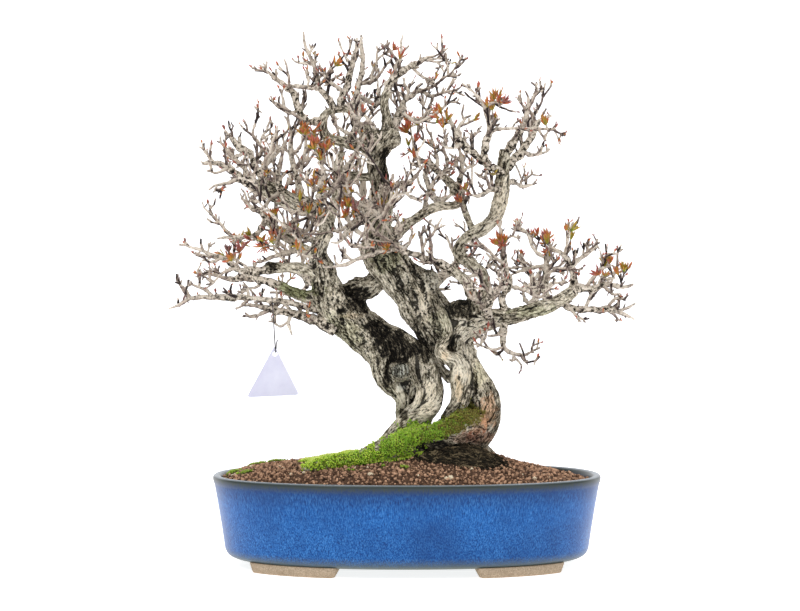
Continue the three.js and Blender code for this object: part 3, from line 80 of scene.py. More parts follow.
# Trunk strands and main limbs, as {name: stations}, each station [column, row, depth, radius]
STRANDS: dict = {
    "pale_root": [[362, 465, -40, 4], [374, 452, -35, 5], [386, 440, -30, 5.5], [398, 429, -26, 7],
        [411, 419, -21, 9], [425, 408, -15, 11.6], [431, 394, -12, 11.9], [430, 380, -10, 10.6],
        [425, 367, -7, 9.5], [418, 354, -4, 9], [408, 344, -2, 8.6], [396, 335, 0, 7.5], [382, 327, 4, 5]],
    "pale_ridge": [[409, 414, -25, 2.4], [417, 401, -25, 3.6], [419, 390, -23, 3.6], [415, 380, -20, 3.6],
        [411, 368, -17, 3.6], [410, 355, -13, 3.4], [403, 343, -8, 3]],
    "left_strand": [[406, 456, 2, 8], [404, 440, 1, 7], [404, 424, 0, 6.2], [403, 411, -4, 6.3],
        [403, 401, -8, 7.5], [398, 391, -10, 8], [390, 384, -9, 8.5], [384, 374, -7, 10],
        [380, 360, -5, 11.5], [370, 344, -4, 12.8], [352, 326, -4, 14.5], [337, 311, -5, 15.5],
        [326, 297, -7, 13]],
    # shadowed_strand lies in a deep hollow behind the left trunk; patches of painted shade darken its bark
    "shadowed_strand": [[412, 374, 8, 8], [399, 353, 9, 10], [382, 339, 9, 11.5], [363, 320, 8, 11],
        [352, 303, 8, 9.5], [345, 291, 8, 9]],
    "left_back": [[413, 456, 16, 10], [414, 440, 16, 9], [418, 424, 16, 9.5], [424, 402, 13, 13],
        [423, 380, 12, 13], [409, 359, 13, 12], [401, 345, 14, 11.6], [383, 333, 16, 10], [366, 318, 15, 8],
        [350, 306, 15, 6]],
    "left_core": [[407, 440, 2, 8], [409, 420, 0, 9], [412, 400, -2, 12], [408, 380, 0, 15],
        [399, 362, 1, 16], [387, 346, 1, 14], [372, 330, 1, 12]],
    # shade_tie is a thin strand put into a shadowed gap between the trunks, where the bark is darkened as
    # painted shade
    "shade_tie": [[428, 354, 2, 4], [435, 362, 0, 4.4], [442, 370, -4, 4.6], [452, 381, -8, 5]],
    "serpent": [[447, 430, -6, 7], [450.5, 416, -10, 7.2], [458, 405, -14, 8.5], [461, 394, -16, 9.3],
        [461, 383, -17, 9.3], [460, 372, -17, 9], [456, 363, -17, 7.5], [447, 358, -17, 6],
        [440, 353, -16, 5.5], [441, 346, -15, 5], [446, 338, -14, 4.8], [447, 329, -13, 5],
        [443, 318, -12, 5.5], [437, 307, -12, 5.5], [431, 296, -11, 5]],
    "right_arc": [[460, 462, -4, 19], [465, 446, -6, 17], [474, 434, -6, 15], [483, 421, -6, 13],
        [486, 406, -6, 12], [482, 389, -6, 12.3], [471, 372, -5, 11.5], [464, 359, -4, 9.8],
        [458, 347, -3, 9.5], [456, 336, -3, 10], [463, 325, -4, 12]],
    "right_back": [[462, 446, 14, 12], [472, 420, 17, 12], [473, 395, 17, 12.5], [466, 370, 15, 12],
        [459, 347, 13, 12], [452, 330, 13, 12], [438, 311, 11, 12], [425, 294, 9, 12], [411, 278, 7, 11]],
    "root_crown": [[440, 434, 2, 18], [440, 450, 2, 25], [440, 482, 2, 24]],
    "moss_root": [[480, 424, -14, 10], [462, 428, -26, 12.5], [445, 436, -33, 11.2], [428, 440, -38, 10],
        [412, 440, -42, 11], [396, 446, -46, 11], [380, 452, -50, 9.5], [362, 459, -54, 7],
        [342, 462, -58, 6], [322, 465, -62, 5], [303, 470, -65, 4]],
    "root_back_left": [[430, 438, 18, 9], [420, 450, 38, 7.5], [408, 457, 56, 5.5], [396, 463, 74, 3.5]],
    "root_back_right": [[474, 441, 12, 8], [490, 457, 28, 5.5], [505, 465, 44, 4], [520, 471, 58, 3]],
    "root_left": [[404, 440, 4, 8], [388, 448, 10, 6.5], [374, 455, 16, 5], [358, 462, 24, 3.5]],
    "left_limb": [[342, 318, -4, 15], [334, 303, -6, 14], [328, 289, -8, 12.5], [324, 275, -10, 11],
        [320, 262, -11, 9.5], [318, 250, -12, 8], [322, 240, -12, 7.5], [328, 231, -13, 7]],
    "cross_limb": [[344, 294, 7, 9], [355, 290, 6, 10], [367, 287, 5, 10], [380, 277, 1, 8.5]],
    "lichen_stem": [[442, 366, 5, 6], [433, 349, 5, 7.3], [423, 331, 2, 7.6], [411, 314, -2, 7.6],
        [403, 300, -4, 7.2], [392, 288, -5, 7.2], [383, 276, -5, 7.2], [373, 264, -4, 8], [369, 250, -2, 8],
        [374, 236, 0, 8]],
    "right_stem": [[457, 353, 2, 9], [447, 339, 0, 11], [438, 325, 0, 13], [430, 310, 0, 14],
        [424, 297, 0, 14.5], [415, 284, 0, 13], [405, 272, 0, 11.5], [396, 262, 0, 10.5],
        [388, 250, 0, 11]],
    "upper_trunk": [[386, 256, 0, 12], [381, 245, 0, 14], [379, 226, 0, 11.5], [382, 206, 0, 9],
        [380, 186, 0, 8.4], [377, 170, 0, 8.8], [377, 158, 0, 9], [380, 145, 0, 11], [385, 133, 0, 8]],
    "dark_fork": [[374, 150, 4, 8], [368, 136, 8, 6], [364, 123, 10, 4]],
    "low_right_limb": [[463, 334, -3, 11], [475, 323, -6, 11.5], [490, 318, -10, 9], [510, 317, -15, 7.2],
        [530, 311, -20, 6.5], [550, 305, -25, 6.7], [565, 297, -28, 6], [575, 289, -31, 5]],
    "high_right_limb": [[472, 318, 2, 9], [480, 302, 5, 7.5], [485, 288, 9, 5.5], [483, 275, 14, 5.2],
        [471, 263, 19, 5.2], [460, 256, 22, 5.2], [460, 244, 22, 5.2], [473, 235, 19, 5.2],
        [486, 226, 15, 6.2], [497, 213, 11, 6.8], [501, 196, 8, 7], [502, 180, 6, 6.6], [504, 165, 4, 5.6],
        [505, 149, 3, 4.4]],
    "inner_right_limb": [[476, 312, -10, 6], [468, 285, -20, 5], [449, 269, -26, 4.2]],
    "dark_arm": [[386, 240, 6, 7], [396, 233, 10, 6], [406, 225, 14, 5], [425, 212, 20, 4.6],
        [441, 207, 26, 4.3], [455, 205, 31, 4.3], [461, 197, 34, 4.6], [455, 187, 36, 5],
        [445, 177, 37, 3.4]],
    "arm_link": [[474, 234, 19, 3.2], [466, 214, 27, 3], [461, 198, 34, 3]],
    "pad_limb": [[328, 231, -13, 7], [324, 221, -15, 7], [311, 208, -18, 7], [296, 203, -21, 7.6],
        [280, 196, -24, 8], [265, 188, -27, 6.2], [254, 183, -29, 4.6]],
    "crown_limb": [[372, 151, -3, 6.5], [360, 146, -6, 6], [349, 143, -9, 5.5], [335, 140, -13, 5.2],
        [326, 136, -16, 5], [322, 127, -18, 4.5], [323, 117, -19, 4], [328, 110, -20, 3.2]],
    "crown_arch": [[327, 112, -20, 3], [340, 109, -14, 3.2], [350, 112, -8, 3.4], [358, 126, -2, 3.6],
        [368, 140, 4, 4]],
    "peak_limb": [[387, 136, 0, 6], [387, 120, -2, 5.2], [385, 108, -3, 4.6], [385, 98, -4, 4.2],
        [389, 86, -5, 3.6]],
    "inner_upright": [[327, 228, -12, 5], [331, 213, -8, 4.4], [337, 192, -5, 4.2], [338, 168, -3, 4],
        [342, 152, -2, 3.2]],
    "inner_tie": [[376, 178, -1, 4], [356, 176, -3, 3.5], [340, 173, -4, 3.2]],
    "lichen_bough": [[324, 301, -8, 8], [306, 297, -4, 6], [290, 290, 0, 5], [276, 284, 4, 4]],
    "burl_bough": [[323, 277, -12, 6], [308, 270, -16, 5], [292, 268, -20, 5], [275, 268, -25, 5.4]],
    "upper_bough": [[320, 253, -8, 5], [306, 250, -2, 4.3], [295, 243, 4, 4.2], [281, 234, 10, 4.2],
        [270, 223, 15, 4.4]],
}

# Burls and cut stubs of each trunk: [column, row, depth, radius]
KNOTS: dict = {
    "left_trunk": [[400, 371, -18, 11], [270, 268, -26, 6.2]],
    "right_trunk": [[428, 282, -2, 12], [460, 312, -6, 12.4], [474, 313, -4, 10], [390, 139, -3, 10],
                    [455, 190, 36, 6]],
}

# Hollow scars with a raised rim, on the front: [column, row, half width, half height, depth]
SCARS = [[342, 311, 7, 4.6, 3.4], [399, 370, 5, 5, 0.8], [430, 277, 6, 5, 1.4],
         [394, 137, 5, 6, 2.6], [373, 146, 4, 7, 3.0], [364, 291, 8, 6, 3.0], [456, 190, 4, 4, 2.0]]

# Where the largest leaf clusters stand: [column, row]
CLUSTERS = [[305, 140], [320, 152], [317, 185], [295, 195], [265, 210], [310, 212], [345, 195], [350, 210],
            [388, 200], [410, 252], [393, 255], [360, 258], [295, 245], [258, 250], [245, 248], [232, 255],
            [240, 232], [270, 245], [488, 103], [498, 107], [476, 117], [440, 120], [410, 128], [405, 140],
            [410, 150], [388, 152], [541, 245], [568, 238], [386, 312], [469, 200], [503, 245], [497, 182],
            [541, 124], [280, 243], [275, 265], [334, 60], [399, 52], [427, 45], [600, 270], [625, 272]]

# The leafy sprays, as {name: limbs}, each limb a list of stations as above. A spray's first limb grows
# from the trunk or a main limb, the others from that one
SPRAYS: dict = {
    "left_reach": [
        [[324, 313, -6, 3], [305, 307, -12, 2.6], [290, 303, -17, 2.5], [272.5, 300, -22, 2.4],
         [255, 299.5, -27, 2.3], [240, 298, -30, 2.3], [232, 299.5, -31, 3], [222, 298, -32, 2.2],
         [205, 297, -35, 2], [190, 298, -37, 1.7], [182, 303, -33, 1.4], [168, 309, -28, 0.9]],
        [[191, 298, -37, 1.5], [186, 291, -40, 1.1], [183, 286, -43, 0.8]],
        [[212, 297, -34, 1.7], [206, 290, -28, 1.4], [191, 284, -20, 0.9]],
        [[248, 299, -28, 1.5], [242, 306, -35, 1.1], [236, 309, -40, 0.8]],
    ],
    "left_low": [
        [[336, 330, -8, 6], [318, 321, -8, 4.4], [305, 317, -7, 3.6], [290, 313, -7, 3],
         [270, 309, -8, 2.6], [250, 304, -10, 1.2]],
        [[272, 309, -8, 1.8], [258, 315, -2, 1.4], [245, 316, 4, 0.9]],
        [[291, 314, -7, 1.5], [288, 324, -12, 1.2], [291, 334, -16, 0.8]],
        [[288, 322, -11, 1.1], [280, 326, -6, 1], [274, 321, 0, 0.7]],
    ],
    "left_lichen": [
        [[279, 286, 3, 3.8], [255, 277, 9, 3], [240, 278, 12, 2.6], [232, 279, 13, 2.2],
         [214, 275, 16, 1.3], [203, 272, 18, 0.9]],
        [[241, 278, 12, 1.6], [248, 268, 16, 1.3], [228, 256, 20, 0.8]],
        [[262, 280, 7, 1.8], [256, 288, 14, 1.3], [242, 290, 20, 0.8]],
    ],
    "left_dark": [
        [[274, 268, -26, 4], [258, 271, -28, 3.2], [242, 272, -30, 3], [233, 265, -31, 2.6],
         [222, 258, -32, 2.1], [205, 252, -34, 1.6], [188, 245, -37, 0.8]],
        [[222, 258, -32, 1.4], [212, 262, -40, 1.1], [206, 258, -46, 0.7]],
        [[236, 268, -31, 1.7], [224, 272, -38, 1.3], [212, 284, -46, 0.8]],
    ],
    "left_upper": [
        [[270, 223, 15, 4.2], [262, 213, 18, 2.6], [250, 206, 22, 1.8], [243, 197, 25, 0.9]],
        [[266, 219, 16, 2.6], [258, 233, 22, 2.2], [244, 237, 26, 1.8], [232, 238, 30, 1.5],
         [220, 239, 33, 0.9]],
        [[233, 238, 30, 1.5], [218, 222, 36, 1.3], [204, 207, 42, 0.8]],
    ],
    "left_inner": [
        [[304, 250, -2, 3], [292, 251, -10, 2.2], [284, 253, -18, 2], [272, 257, -26, 1.6],
         [259, 262, -34, 0.9]],
        [[285, 253, -17, 1.5], [276, 247, -30, 1.2], [266, 245, -42, 0.8]],
    ],
    "left_fork": [
        [[320, 243, -14, 3], [310, 239, -28, 2.4], [303, 235, -40, 2.2], [294, 231, -54, 1.6],
         [284, 229, -68, 0.9]],
        [[303, 235, -40, 1.7], [309, 228, -52, 1.3], [316, 221, -64, 0.8]],
        [[297, 232, -50, 1.4], [300, 244, -62, 1.1], [298, 256, -74, 0.7]],
    ],
    "pad_tip": [
        [[256, 184, -29, 4.4], [243, 180, -32, 4], [234, 173, -35, 3], [228, 168, -37, 2.5],
         [212, 163, -41, 1.9], [202, 162, -44, 1]],
        [[240, 178, -33, 2], [232, 182, -41, 1.6], [214, 187, -52, 0.8]],
        [[248, 182, -30, 2.4], [245, 170, -22, 2.2], [228, 152, -12, 1.6], [221, 141, -8, 0.8]],
        [[228, 168, -37, 1.5], [218, 172, -48, 1.2], [207, 171, -56, 0.7]],
    ],
    "pad_rise": [
        [[268, 188, -26, 4], [262, 178, -20, 3.2], [257, 168, -15, 2.8], [252, 158, -12, 2.4],
         [244, 150, -9, 3], [235, 143, -7, 2.8], [227, 134, -5, 0.9]],
        [[254, 162, -13, 1.8], [262, 150, -20, 1.5], [253, 134, -26, 1.2], [258, 117, -30, 0.7]],
        [[258, 170, -16, 1.7], [268, 164, -6, 1.6], [276, 155, 2, 1.3], [283, 146, 8, 0.8]],
        [[246, 152, -9, 1.5], [238, 156, 4, 1.2], [226, 158, 14, 0.8]],
    ],
    "pad_inner": [
        [[282, 196, -24, 4], [278, 181, -32, 2.4], [280, 166, -40, 1.9], [283, 149, -47, 0.9]],
        [[278, 178, -33, 1.7], [267, 166, -42, 1.4], [269, 149, -50, 1.2], [276, 132, -56, 0.7]],
        [[281, 192, -26, 2], [270, 200, -42, 1.6], [262, 208, -56, 1.2], [252, 210, -68, 0.7]],
    ],
    "pad_stem": [
        [[304, 206, -24, 3.6], [299, 190, -20, 2.9], [296, 175, -14, 2.5], [291, 150, -7, 1.8],
         [291, 130, -4, 1.3], [289, 114, -2, 0.8]],
        [[294, 172, -10, 1.5], [305, 160, 0, 1.3], [309, 145, 8, 0.8]],
        [[292, 156, -8, 1.4], [300, 146, -20, 1.2], [305, 136, -30, 0.8]],
    ],
    "front_left": [
        [[312, 209, -20, 4], [316, 206, -42, 3.2], [320, 199, -62, 2.8], [317, 190, -82, 2.2],
         [303, 179, -110, 0.9]],
        [[320, 200, -60, 2], [334, 190, -74, 1.7], [340, 178, -86, 1.4], [338, 165, -98, 0.8]],
        [[317, 205, -44, 2], [305, 212, -58, 1.6], [292, 211, -74, 1.3], [280, 206, -88, 0.8]],
        [[318, 194, -74, 1.6], [322, 178, -84, 1.3], [318, 162, -92, 0.8]],
    ],
    "front_mid": [
        [[380, 212, -8, 4.5], [372, 214, -28, 3.6], [362, 220, -46, 3], [352, 228, -62, 2.6],
         [345, 236, -76, 2], [336, 244, -90, 0.9]],
        [[362, 220, -46, 2.2], [354, 208, -60, 1.9], [349, 195, -74, 1.6], [346, 181, -86, 0.9]],
        [[353, 228, -62, 1.8], [364, 238, -76, 1.5], [370, 246, -88, 0.8]],
        [[371, 215, -30, 2], [380, 203, -44, 1.6], [386, 190, -56, 1.2], [392, 177, -66, 0.7]],
    ],
    "front_sweep": [
        [[451, 270, -26, 3.8], [437, 262, -30, 3], [425, 258, -33, 2.6], [402, 251, -36, 2.1],
         [386, 250, -38, 2], [365, 257, -42, 1.7], [345, 263, -46, 1.4], [326, 267, -50, 0.8]],
        [[432, 260, -31, 1.8], [430, 248, -36, 1.5], [429, 230, -44, 0.8]],
        [[403, 251, -36, 1.4], [409, 243, -46, 1.2], [412, 232, -54, 0.8]],
    ],
    "front_heart": [
        [[383, 246, -12, 4], [390, 241, -30, 3], [394, 234, -48, 2.4], [400, 227, -64, 1.6],
         [397, 218, -76, 0.8]],
        [[390, 241, -30, 1.6], [378, 234, -48, 1.4], [370, 226, -64, 1.1], [364, 216, -76, 0.7]],
    ],
    "crown_left": [
        [[325, 120, -19, 3.4], [312, 122, -16, 3], [304, 117, -14, 2.8], [298, 106, -12, 3],
         [293, 93, -10, 2.8], [285, 86, -8, 2.4], [276, 79, -6, 1.9], [267, 72, -4, 0.9]],
        [[286, 87, -8, 1.8], [302, 87, -24, 1.6], [312, 90, -32, 1.4], [319, 85, -40, 0.8]],
        [[292, 91, -10, 1.6], [287, 80, -22, 1.2], [286, 65, -30, 0.7]],
        [[300, 110, -13, 1.6], [288, 112, -2, 1.3], [277, 104, 8, 0.8]],
    ],
    "crown_spire": [
        [[335, 110, -17, 3.4], [326, 98, -19, 2.4], [318, 88, -20, 2.2], [316, 70, -20, 1.9],
         [308, 50, -18, 1.3], [303, 32, -17, 0.7]],
        [[313, 64, -20, 1.3], [306, 64, -8, 1], [299, 65, 0, 0.7]],
        [[318, 86, -20, 1.5], [325, 78, -30, 1.3], [332, 69, -38, 0.8]],
    ],
    "crown_middle": [
        [[340, 109, -15, 3.2], [342, 98, -16, 3.2], [346, 89, -17, 3.2], [350, 74, -18, 2.5],
         [353, 62, -19, 2.1], [355, 41, -21, 0.8]],
        [[345, 92, -17, 1.8], [334, 85, -28, 1.5], [323, 76, -38, 0.8]],
        [[352, 66, -19, 1.4], [345, 56, -10, 1.1], [341, 46, -4, 0.7]],
    ],
    "crown_back": [
        [[353, 116, -6, 3.2], [356, 100, 0, 2.6], [359, 86, 6, 2.3], [362, 70, 10, 2], [362, 52, 12, 1.6],
         [363, 35, 14, 0.8]],
        [[357, 95, 2, 1.7], [366, 100, 14, 1.6], [375, 103, 22, 1.5], [380, 97, 30, 1.2],
         [378, 86, 36, 0.8]],
        [[360, 84, 7, 1.7], [371, 82, 0, 1.6], [380, 74, -6, 1.3], [388, 63, -10, 0.8]],
        [[371, 82, 0, 1.3], [375, 66, 8, 1.1], [378, 49, 16, 0.7]],
    ],
    "crown_front": [
        [[350, 142, -14, 3.6], [352, 135, -34, 2.8], [356, 127, -52, 2.3], [354, 117, -68, 1.8],
         [348, 105, -84, 0.8]],
        [[352, 135, -34, 1.7], [342, 131, -50, 1.4], [334, 122, -64, 0.8]],
        [[356, 127, -52, 1.5], [368, 121, -66, 1.2], [377, 112, -78, 0.7]],
    ],
    "crown_peak": [
        [[387, 92, -5, 3.6], [391, 81, -6, 3.4], [400, 72, -8, 3], [410, 66, -9, 2.7], [422, 61, -10, 2.1],
         [435, 56, -11, 0.9]],
        [[424, 60, -10, 1.3], [436, 62, -20, 1], [447, 60, -28, 0.7]],
        [[400, 71, -8, 1.8], [396, 60, -16, 1.5], [388, 45, -22, 0.8]],
        [[399, 70, -8, 1.5], [401, 52, 0, 1.2], [403, 35, 6, 0.7]],
        [[411, 66, -9, 1.5], [418, 74, 0, 1.2], [427, 79, 8, 0.8]],
    ],
    "crown_right": [
        [[390, 132, 3, 4], [397, 116, 10, 2.8], [404, 103, 14, 2.3], [418, 92, 20, 2], [434, 95, 24, 1.6],
         [458, 90, 30, 0.8]],
        [[418, 92, 20, 1.5], [438, 83, 12, 1.2], [458, 65, 4, 0.7]],
        [[434, 95, 24, 1.4], [430, 106, 32, 1.2], [425, 116, 38, 0.8]],
        [[401, 108, 12, 1.6], [408, 118, 2, 1.4], [420, 122, -8, 1.2], [446, 105, -16, 0.7]],
        [[404, 103, 14, 1.4], [408, 92, 26, 1.2], [404, 80, 36, 0.8]],
    ],
    "heart_right": [
        [[384, 191, -4, 3.4], [396, 185, -14, 2.4], [408, 182, -22, 2], [422, 167, -34, 0.8]],
        [[398, 185, -15, 1.6], [408, 194, -26, 1.4], [419, 200, -36, 0.8]],
    ],
    "arm_tip": [
        [[447, 180, 37, 3.4], [438, 172, 38, 2.8], [424, 162, 39, 2.2], [415, 153, 40, 1.7],
         [412, 134, 42, 0.8]],
        [[436, 171, 38, 1.6], [437, 158, 48, 1.4], [431, 134, 62, 0.7]],
        [[442, 175, 38, 2], [448, 163, 28, 1.7], [443, 145, 18, 1.4], [446, 134, 12, 0.8]],
    ],
    "arm_shoot": [
        [[457, 189, 36, 3], [461, 175, 30, 2], [461, 158, 26, 1.6], [457, 139, 22, 0.8]],
        [[461, 172, 30, 1.4], [470, 166, 42, 1.2], [474, 156, 52, 0.8]],
    ],
    "arm_front": [
        [[424, 212, 20, 2.6], [426, 200, 8, 1.8], [431, 188, -2, 1.5], [441, 174, -10, 0.8]],
        [[428, 194, 3, 1.3], [420, 186, -6, 1.1], [417, 176, -12, 0.7]],
    ],
    "high_tip": [
        [[506, 154, 3, 4], [511, 146, 1, 3.5], [518, 137, 0, 3], [523, 129, -1, 2.3], [528, 109, -3, 1.5],
         [527, 96, -4, 0.8]],
        [[528, 111, -3, 1.3], [533, 101, -12, 1], [536, 93, -18, 0.7]],
        [[523, 129, -1, 1.6], [537, 129, -10, 1.3], [553, 130, -18, 0.7]],
    ],
    "high_back": [
        [[507, 168, 5, 4], [514, 159, 14, 3.4], [521, 154, 20, 3.2], [530, 140, 24, 3], [537, 125, 28, 2.2],
         [552, 116, 34, 0.9]],
        [[523, 152, 20, 2], [534, 155, 30, 1.5], [547, 152, 40, 0.8]],
        [[537, 127, 28, 1.4], [534, 116, 38, 1.2], [539, 107, 46, 0.8]],
    ],
    "high_front": [
        [[504, 174, 4, 3.6], [496, 169, -4, 3], [488, 166, -12, 3], [484, 155, -16, 3],
         [486, 144, -19, 3.1], [489, 130, -22, 2.5], [484, 107, -26, 1.6], [469, 88, -31, 0.7]],
        [[485, 110, -26, 1.3], [492, 104, -36, 1.1], [501, 103, -44, 0.7]],
        [[489, 131, -22, 1.6], [504, 129, -34, 1.3], [520, 129, -44, 0.7]],
        [[487, 164, -13, 2.6], [478, 158, -15, 3], [463, 142, -18, 3], [456, 132, -20, 2.4],
         [445, 112, -24, 0.8]],
        [[463, 142, -18, 1.6], [452, 148, -30, 1.3], [441, 146, -40, 0.8]],
    ],
    "high_inner": [
        [[504, 190, 6, 3], [492, 189, -4, 2.2], [481, 194, -12, 1.8], [471, 194, -20, 0.8]],
        [[490, 190, -5, 1.5], [487, 181, -18, 1.3], [478, 174, -30, 0.8]],
    ],
    "high_side": [
        [[507, 182, 6, 2.6], [515, 183, 12, 1.8], [525, 187, 20, 1.3], [534, 184, 28, 0.8]],
    ],
    "right_reach": [
        [[562, 299, -27, 3.6], [568, 307, -26, 3], [584, 310, -24, 2.6], [595, 310, -22, 2.6],
         [608, 308, -20, 2.9], [618, 312, -18, 1.9], [635, 320, -15, 0.8]],
        [[617, 311, -18, 1.4], [626, 308, -24, 1.1], [635, 303, -28, 0.7]],
        [[607, 308, -20, 1.4], [613, 299, -28, 1.1], [620, 296, -34, 0.7]],
        [[570, 308, -26, 1.8], [576, 315, -32, 1.3], [583, 321, -38, 0.8]],
    ],
    "right_tip": [
        [[574, 290, -31, 4.2], [580, 288, -33, 3.2], [595, 287, -37, 2.6], [605, 285, -40, 2.2],
         [622, 287, -44, 1.5], [633, 283, -47, 0.8]],
        [[585, 288, -34, 1.8], [598, 271, -46, 1.4], [607, 267, -54, 0.8]],
        [[597, 287, -38, 1.5], [603, 277, -26, 1.2], [622, 269, -14, 0.7]],
        [[603, 286, -40, 1.4], [612, 294, -54, 1.1], [620, 296, -66, 0.7]],
    ],
    "right_rise": [
        [[570, 293, -29, 3.6], [574, 280, -25, 3], [570, 263, -20, 2.5], [563, 254, -18, 2.1],
         [550, 246, -14, 0.9]],
        [[564, 255, -18, 1.4], [567, 246, -27, 1.2], [568, 236, -34, 0.7]],
        [[571, 267, -21, 1.8], [580, 259, -12, 1.5], [590, 252, -5, 1.2], [598, 246, 2, 0.7]],
    ],
    "right_middle": [
        [[549, 304, -25, 3.8], [545, 289, -22, 3], [545, 267, -18, 2.4], [547, 257, -16, 2],
         [550, 248, -14, 0.8]],
        [[545, 266, -18, 1.8], [528, 268, -6, 1.6], [511, 276, 6, 0.8]],
        [[545, 280, -20, 1.6], [552, 271, -32, 1.4], [568, 268, -44, 0.8]],
        [[547, 258, -16, 1.6], [537, 253, -8, 1.5], [527, 233, 0, 1.2], [518, 227, 6, 0.7]],
    ],
    "right_pale": [
        [[508, 317, -15, 3.4], [501, 300, -20, 2.6], [511, 285, -24, 2.7], [505, 264, -28, 2.6],
         [503, 240, -32, 1.8], [500, 226, -34, 0.8]],
        [[510, 286, -24, 1.6], [522, 290, -34, 1.4], [534, 295, -44, 1.2], [546, 299, -52, 0.7]],
        [[505, 264, -28, 1.5], [495, 258, -40, 1.3], [478, 243, -52, 0.7]],
        [[503, 242, -32, 1.3], [511, 237, -42, 1.1], [519, 239, -50, 0.7]],
    ],
    "right_hanging": [
        [[505, 319, -15, 3.2], [504, 333, -17, 3], [504, 347, -19, 2], [522, 355, -24, 1.2],
         [537, 348, -30, 0.7]],
        [[504, 347, -19, 1.2], [492, 349, -24, 1], [479, 345, -30, 0.7]],
    ],
    "front_right": [
        [[489, 317, -12, 4.5], [487, 308, -36, 3.2], [490, 298, -58, 2.6], [496, 290, -78, 2],
         [504, 281, -98, 0.8]],
        [[487, 306, -40, 1.8], [474, 299, -56, 1.4], [464, 288, -70, 0.8]],
        [[491, 297, -60, 1.6], [484, 284, -74, 1.3], [480, 270, -84, 0.8]],
    ],
    "back_left": [
        [[379, 222, 8, 5], [370, 214, 30, 4], [360, 206, 52, 3.4], [350, 200, 74, 2.8], [340, 192, 94, 2.2],
         [331, 183, 112, 0.9]],
        [[361, 207, 50, 2.2], [364, 190, 66, 1.8], [360, 175, 78, 1.4], [352, 162, 90, 0.8]],
        [[350, 200, 74, 1.8], [336, 206, 86, 1.4], [312, 200, 106, 0.7]],
        [[366, 211, 40, 2], [352, 222, 56, 1.6], [338, 230, 70, 1.2], [326, 228, 84, 0.7]],
    ],
    "back_right": [
        [[425, 295, 10, 6], [436, 283, 34, 4.4], [448, 272, 56, 3.6], [458, 262, 78, 2.8],
         [467, 250, 98, 2], [475, 237, 114, 0.9]],
        [[448, 272, 56, 2.2], [464, 276, 70, 1.8], [480, 272, 84, 1.4], [494, 264, 96, 0.8]],
        [[459, 261, 80, 1.8], [452, 248, 92, 1.4], [446, 236, 102, 0.8]],
    ],
    "back_top": [
        [[381, 147, 5, 5], [386, 140, 28, 3.6], [394, 130, 48, 3], [400, 118, 66, 2.4], [404, 104, 82, 1.6],
         [404, 90, 94, 0.8]],
        [[394, 130, 48, 1.8], [408, 128, 62, 1.5], [420, 122, 76, 1.1], [430, 112, 86, 0.7]],
        [[386, 140, 28, 1.8], [374, 128, 46, 1.6], [364, 114, 60, 1.2], [356, 100, 72, 0.8]],
    ],
    "back_low_left": [
        [[331, 297, 4, 5.5], [322, 288, 28, 4], [310, 280, 50, 3.2], [298, 272, 70, 2.6],
         [286, 262, 90, 1.9], [275, 251, 106, 0.8]],
        [[311, 281, 48, 2], [300, 292, 62, 1.5], [288, 296, 76, 1.1], [276, 292, 86, 0.7]],
        [[298, 272, 70, 1.7], [304, 256, 82, 1.3], [300, 240, 92, 0.8]],
    ],
    "back_far_right": [
        [[530, 310, -16, 4], [534, 301, 10, 3], [536, 291, 34, 2.6], [534, 281, 56, 2.2],
         [528, 270, 76, 1.6], [520, 261, 92, 0.8]],
        [[536, 291, 34, 1.7], [548, 286, 50, 1.3], [562, 281, 64, 0.8]],
        [[534, 280, 58, 1.5], [544, 268, 72, 1.2], [552, 256, 82, 0.7]],
    ],
    "back_pad": [
        [[291, 202, -14, 4.6], [288, 198, 12, 3.6], [282, 194, 32, 3], [272, 190, 54, 2.4],
         [262, 184, 74, 1.7], [253, 177, 90, 0.8]],
        [[282, 194, 32, 1.8], [288, 182, 46, 1.4], [291, 169, 58, 0.8]],
        [[272, 190, 54, 1.5], [262, 199, 66, 1.1], [249, 201, 76, 0.7]],
    ],
    "back_heart": [
        [[441, 207, 28, 3.6], [436, 200, 52, 2.8], [430, 192, 72, 2.2], [426, 182, 90, 1.6],
         [424, 171, 104, 0.8]],
        [[436, 200, 52, 1.6], [448, 197, 66, 1.3], [461, 190, 78, 0.8]],
    ],
}


class Seed(Enum):
    """What each seeded draw of numbers is for."""

    FIBRES = 11
    BARK = 23
    TWIGS = 41
    GRAINS = 67
    MOSS = 79
    SOIL = 83
    MAT = 97

    def draw(self) -> np.random.Generator:
        """A fresh generator for this purpose."""
        return np.random.default_rng(self.value)


@dataclass(frozen=True)
class FrontView:
    """The level front view in which the tree's stations are read."""

    mm_per_pixel: float = 0.84
    centre_column: float = 406.75
    eye_row: float = 286.5
    eye_height: float = 233.0
    distance: float = 2000.0

    def place(self, stations: Array) -> Array:
        """Turns columns, rows and depths into places.

        Args:
            stations: (..., 3 or more) column, row, depth and whatever follows.

        Returns:
            (..., 3) places in mm, in the row frame.
        """
        stations = np.asarray(stations, float)
        scale = self.mm_per_pixel * (1 + stations[..., 2] / self.distance)
        x = (stations[..., 0] - self.centre_column) * scale + POT_MIDDLE_X
        z = self.eye_height - (stations[..., 1] - self.eye_row) * scale
        return np.stack([x, stations[..., 2], z], axis=-1)

    def seen(self, places: Array) -> tuple[Array, Array]:
        """Where places are seen, the reverse of place.

        Args:
            places: (..., 3) places in mm.

        Returns:
            Their columns and rows.
        """
        scale = self.mm_per_pixel * (1 + places[..., 1] / self.distance)
        column = (places[..., 0] - POT_MIDDLE_X) / scale + self.centre_column
        row = (self.eye_height - places[..., 2]) / scale + self.eye_row
        return column, row


VIEW = FrontView()


def unit(vectors: Array) -> Array:
    """Vectors along the last axis, made one long."""
    return vectors / np.maximum(np.linalg.norm(vectors, axis=-1, keepdims=True), 1e-9)


def square_to(directions: Array) -> Array:
    """Unit vectors square to unit directions, upwards where they can be."""
    start = np.where(np.abs(directions[..., 2:3]) < 0.9, UP, BACK)
    return unit(start - np.sum(start * directions, axis=-1, keepdims=True) * directions)


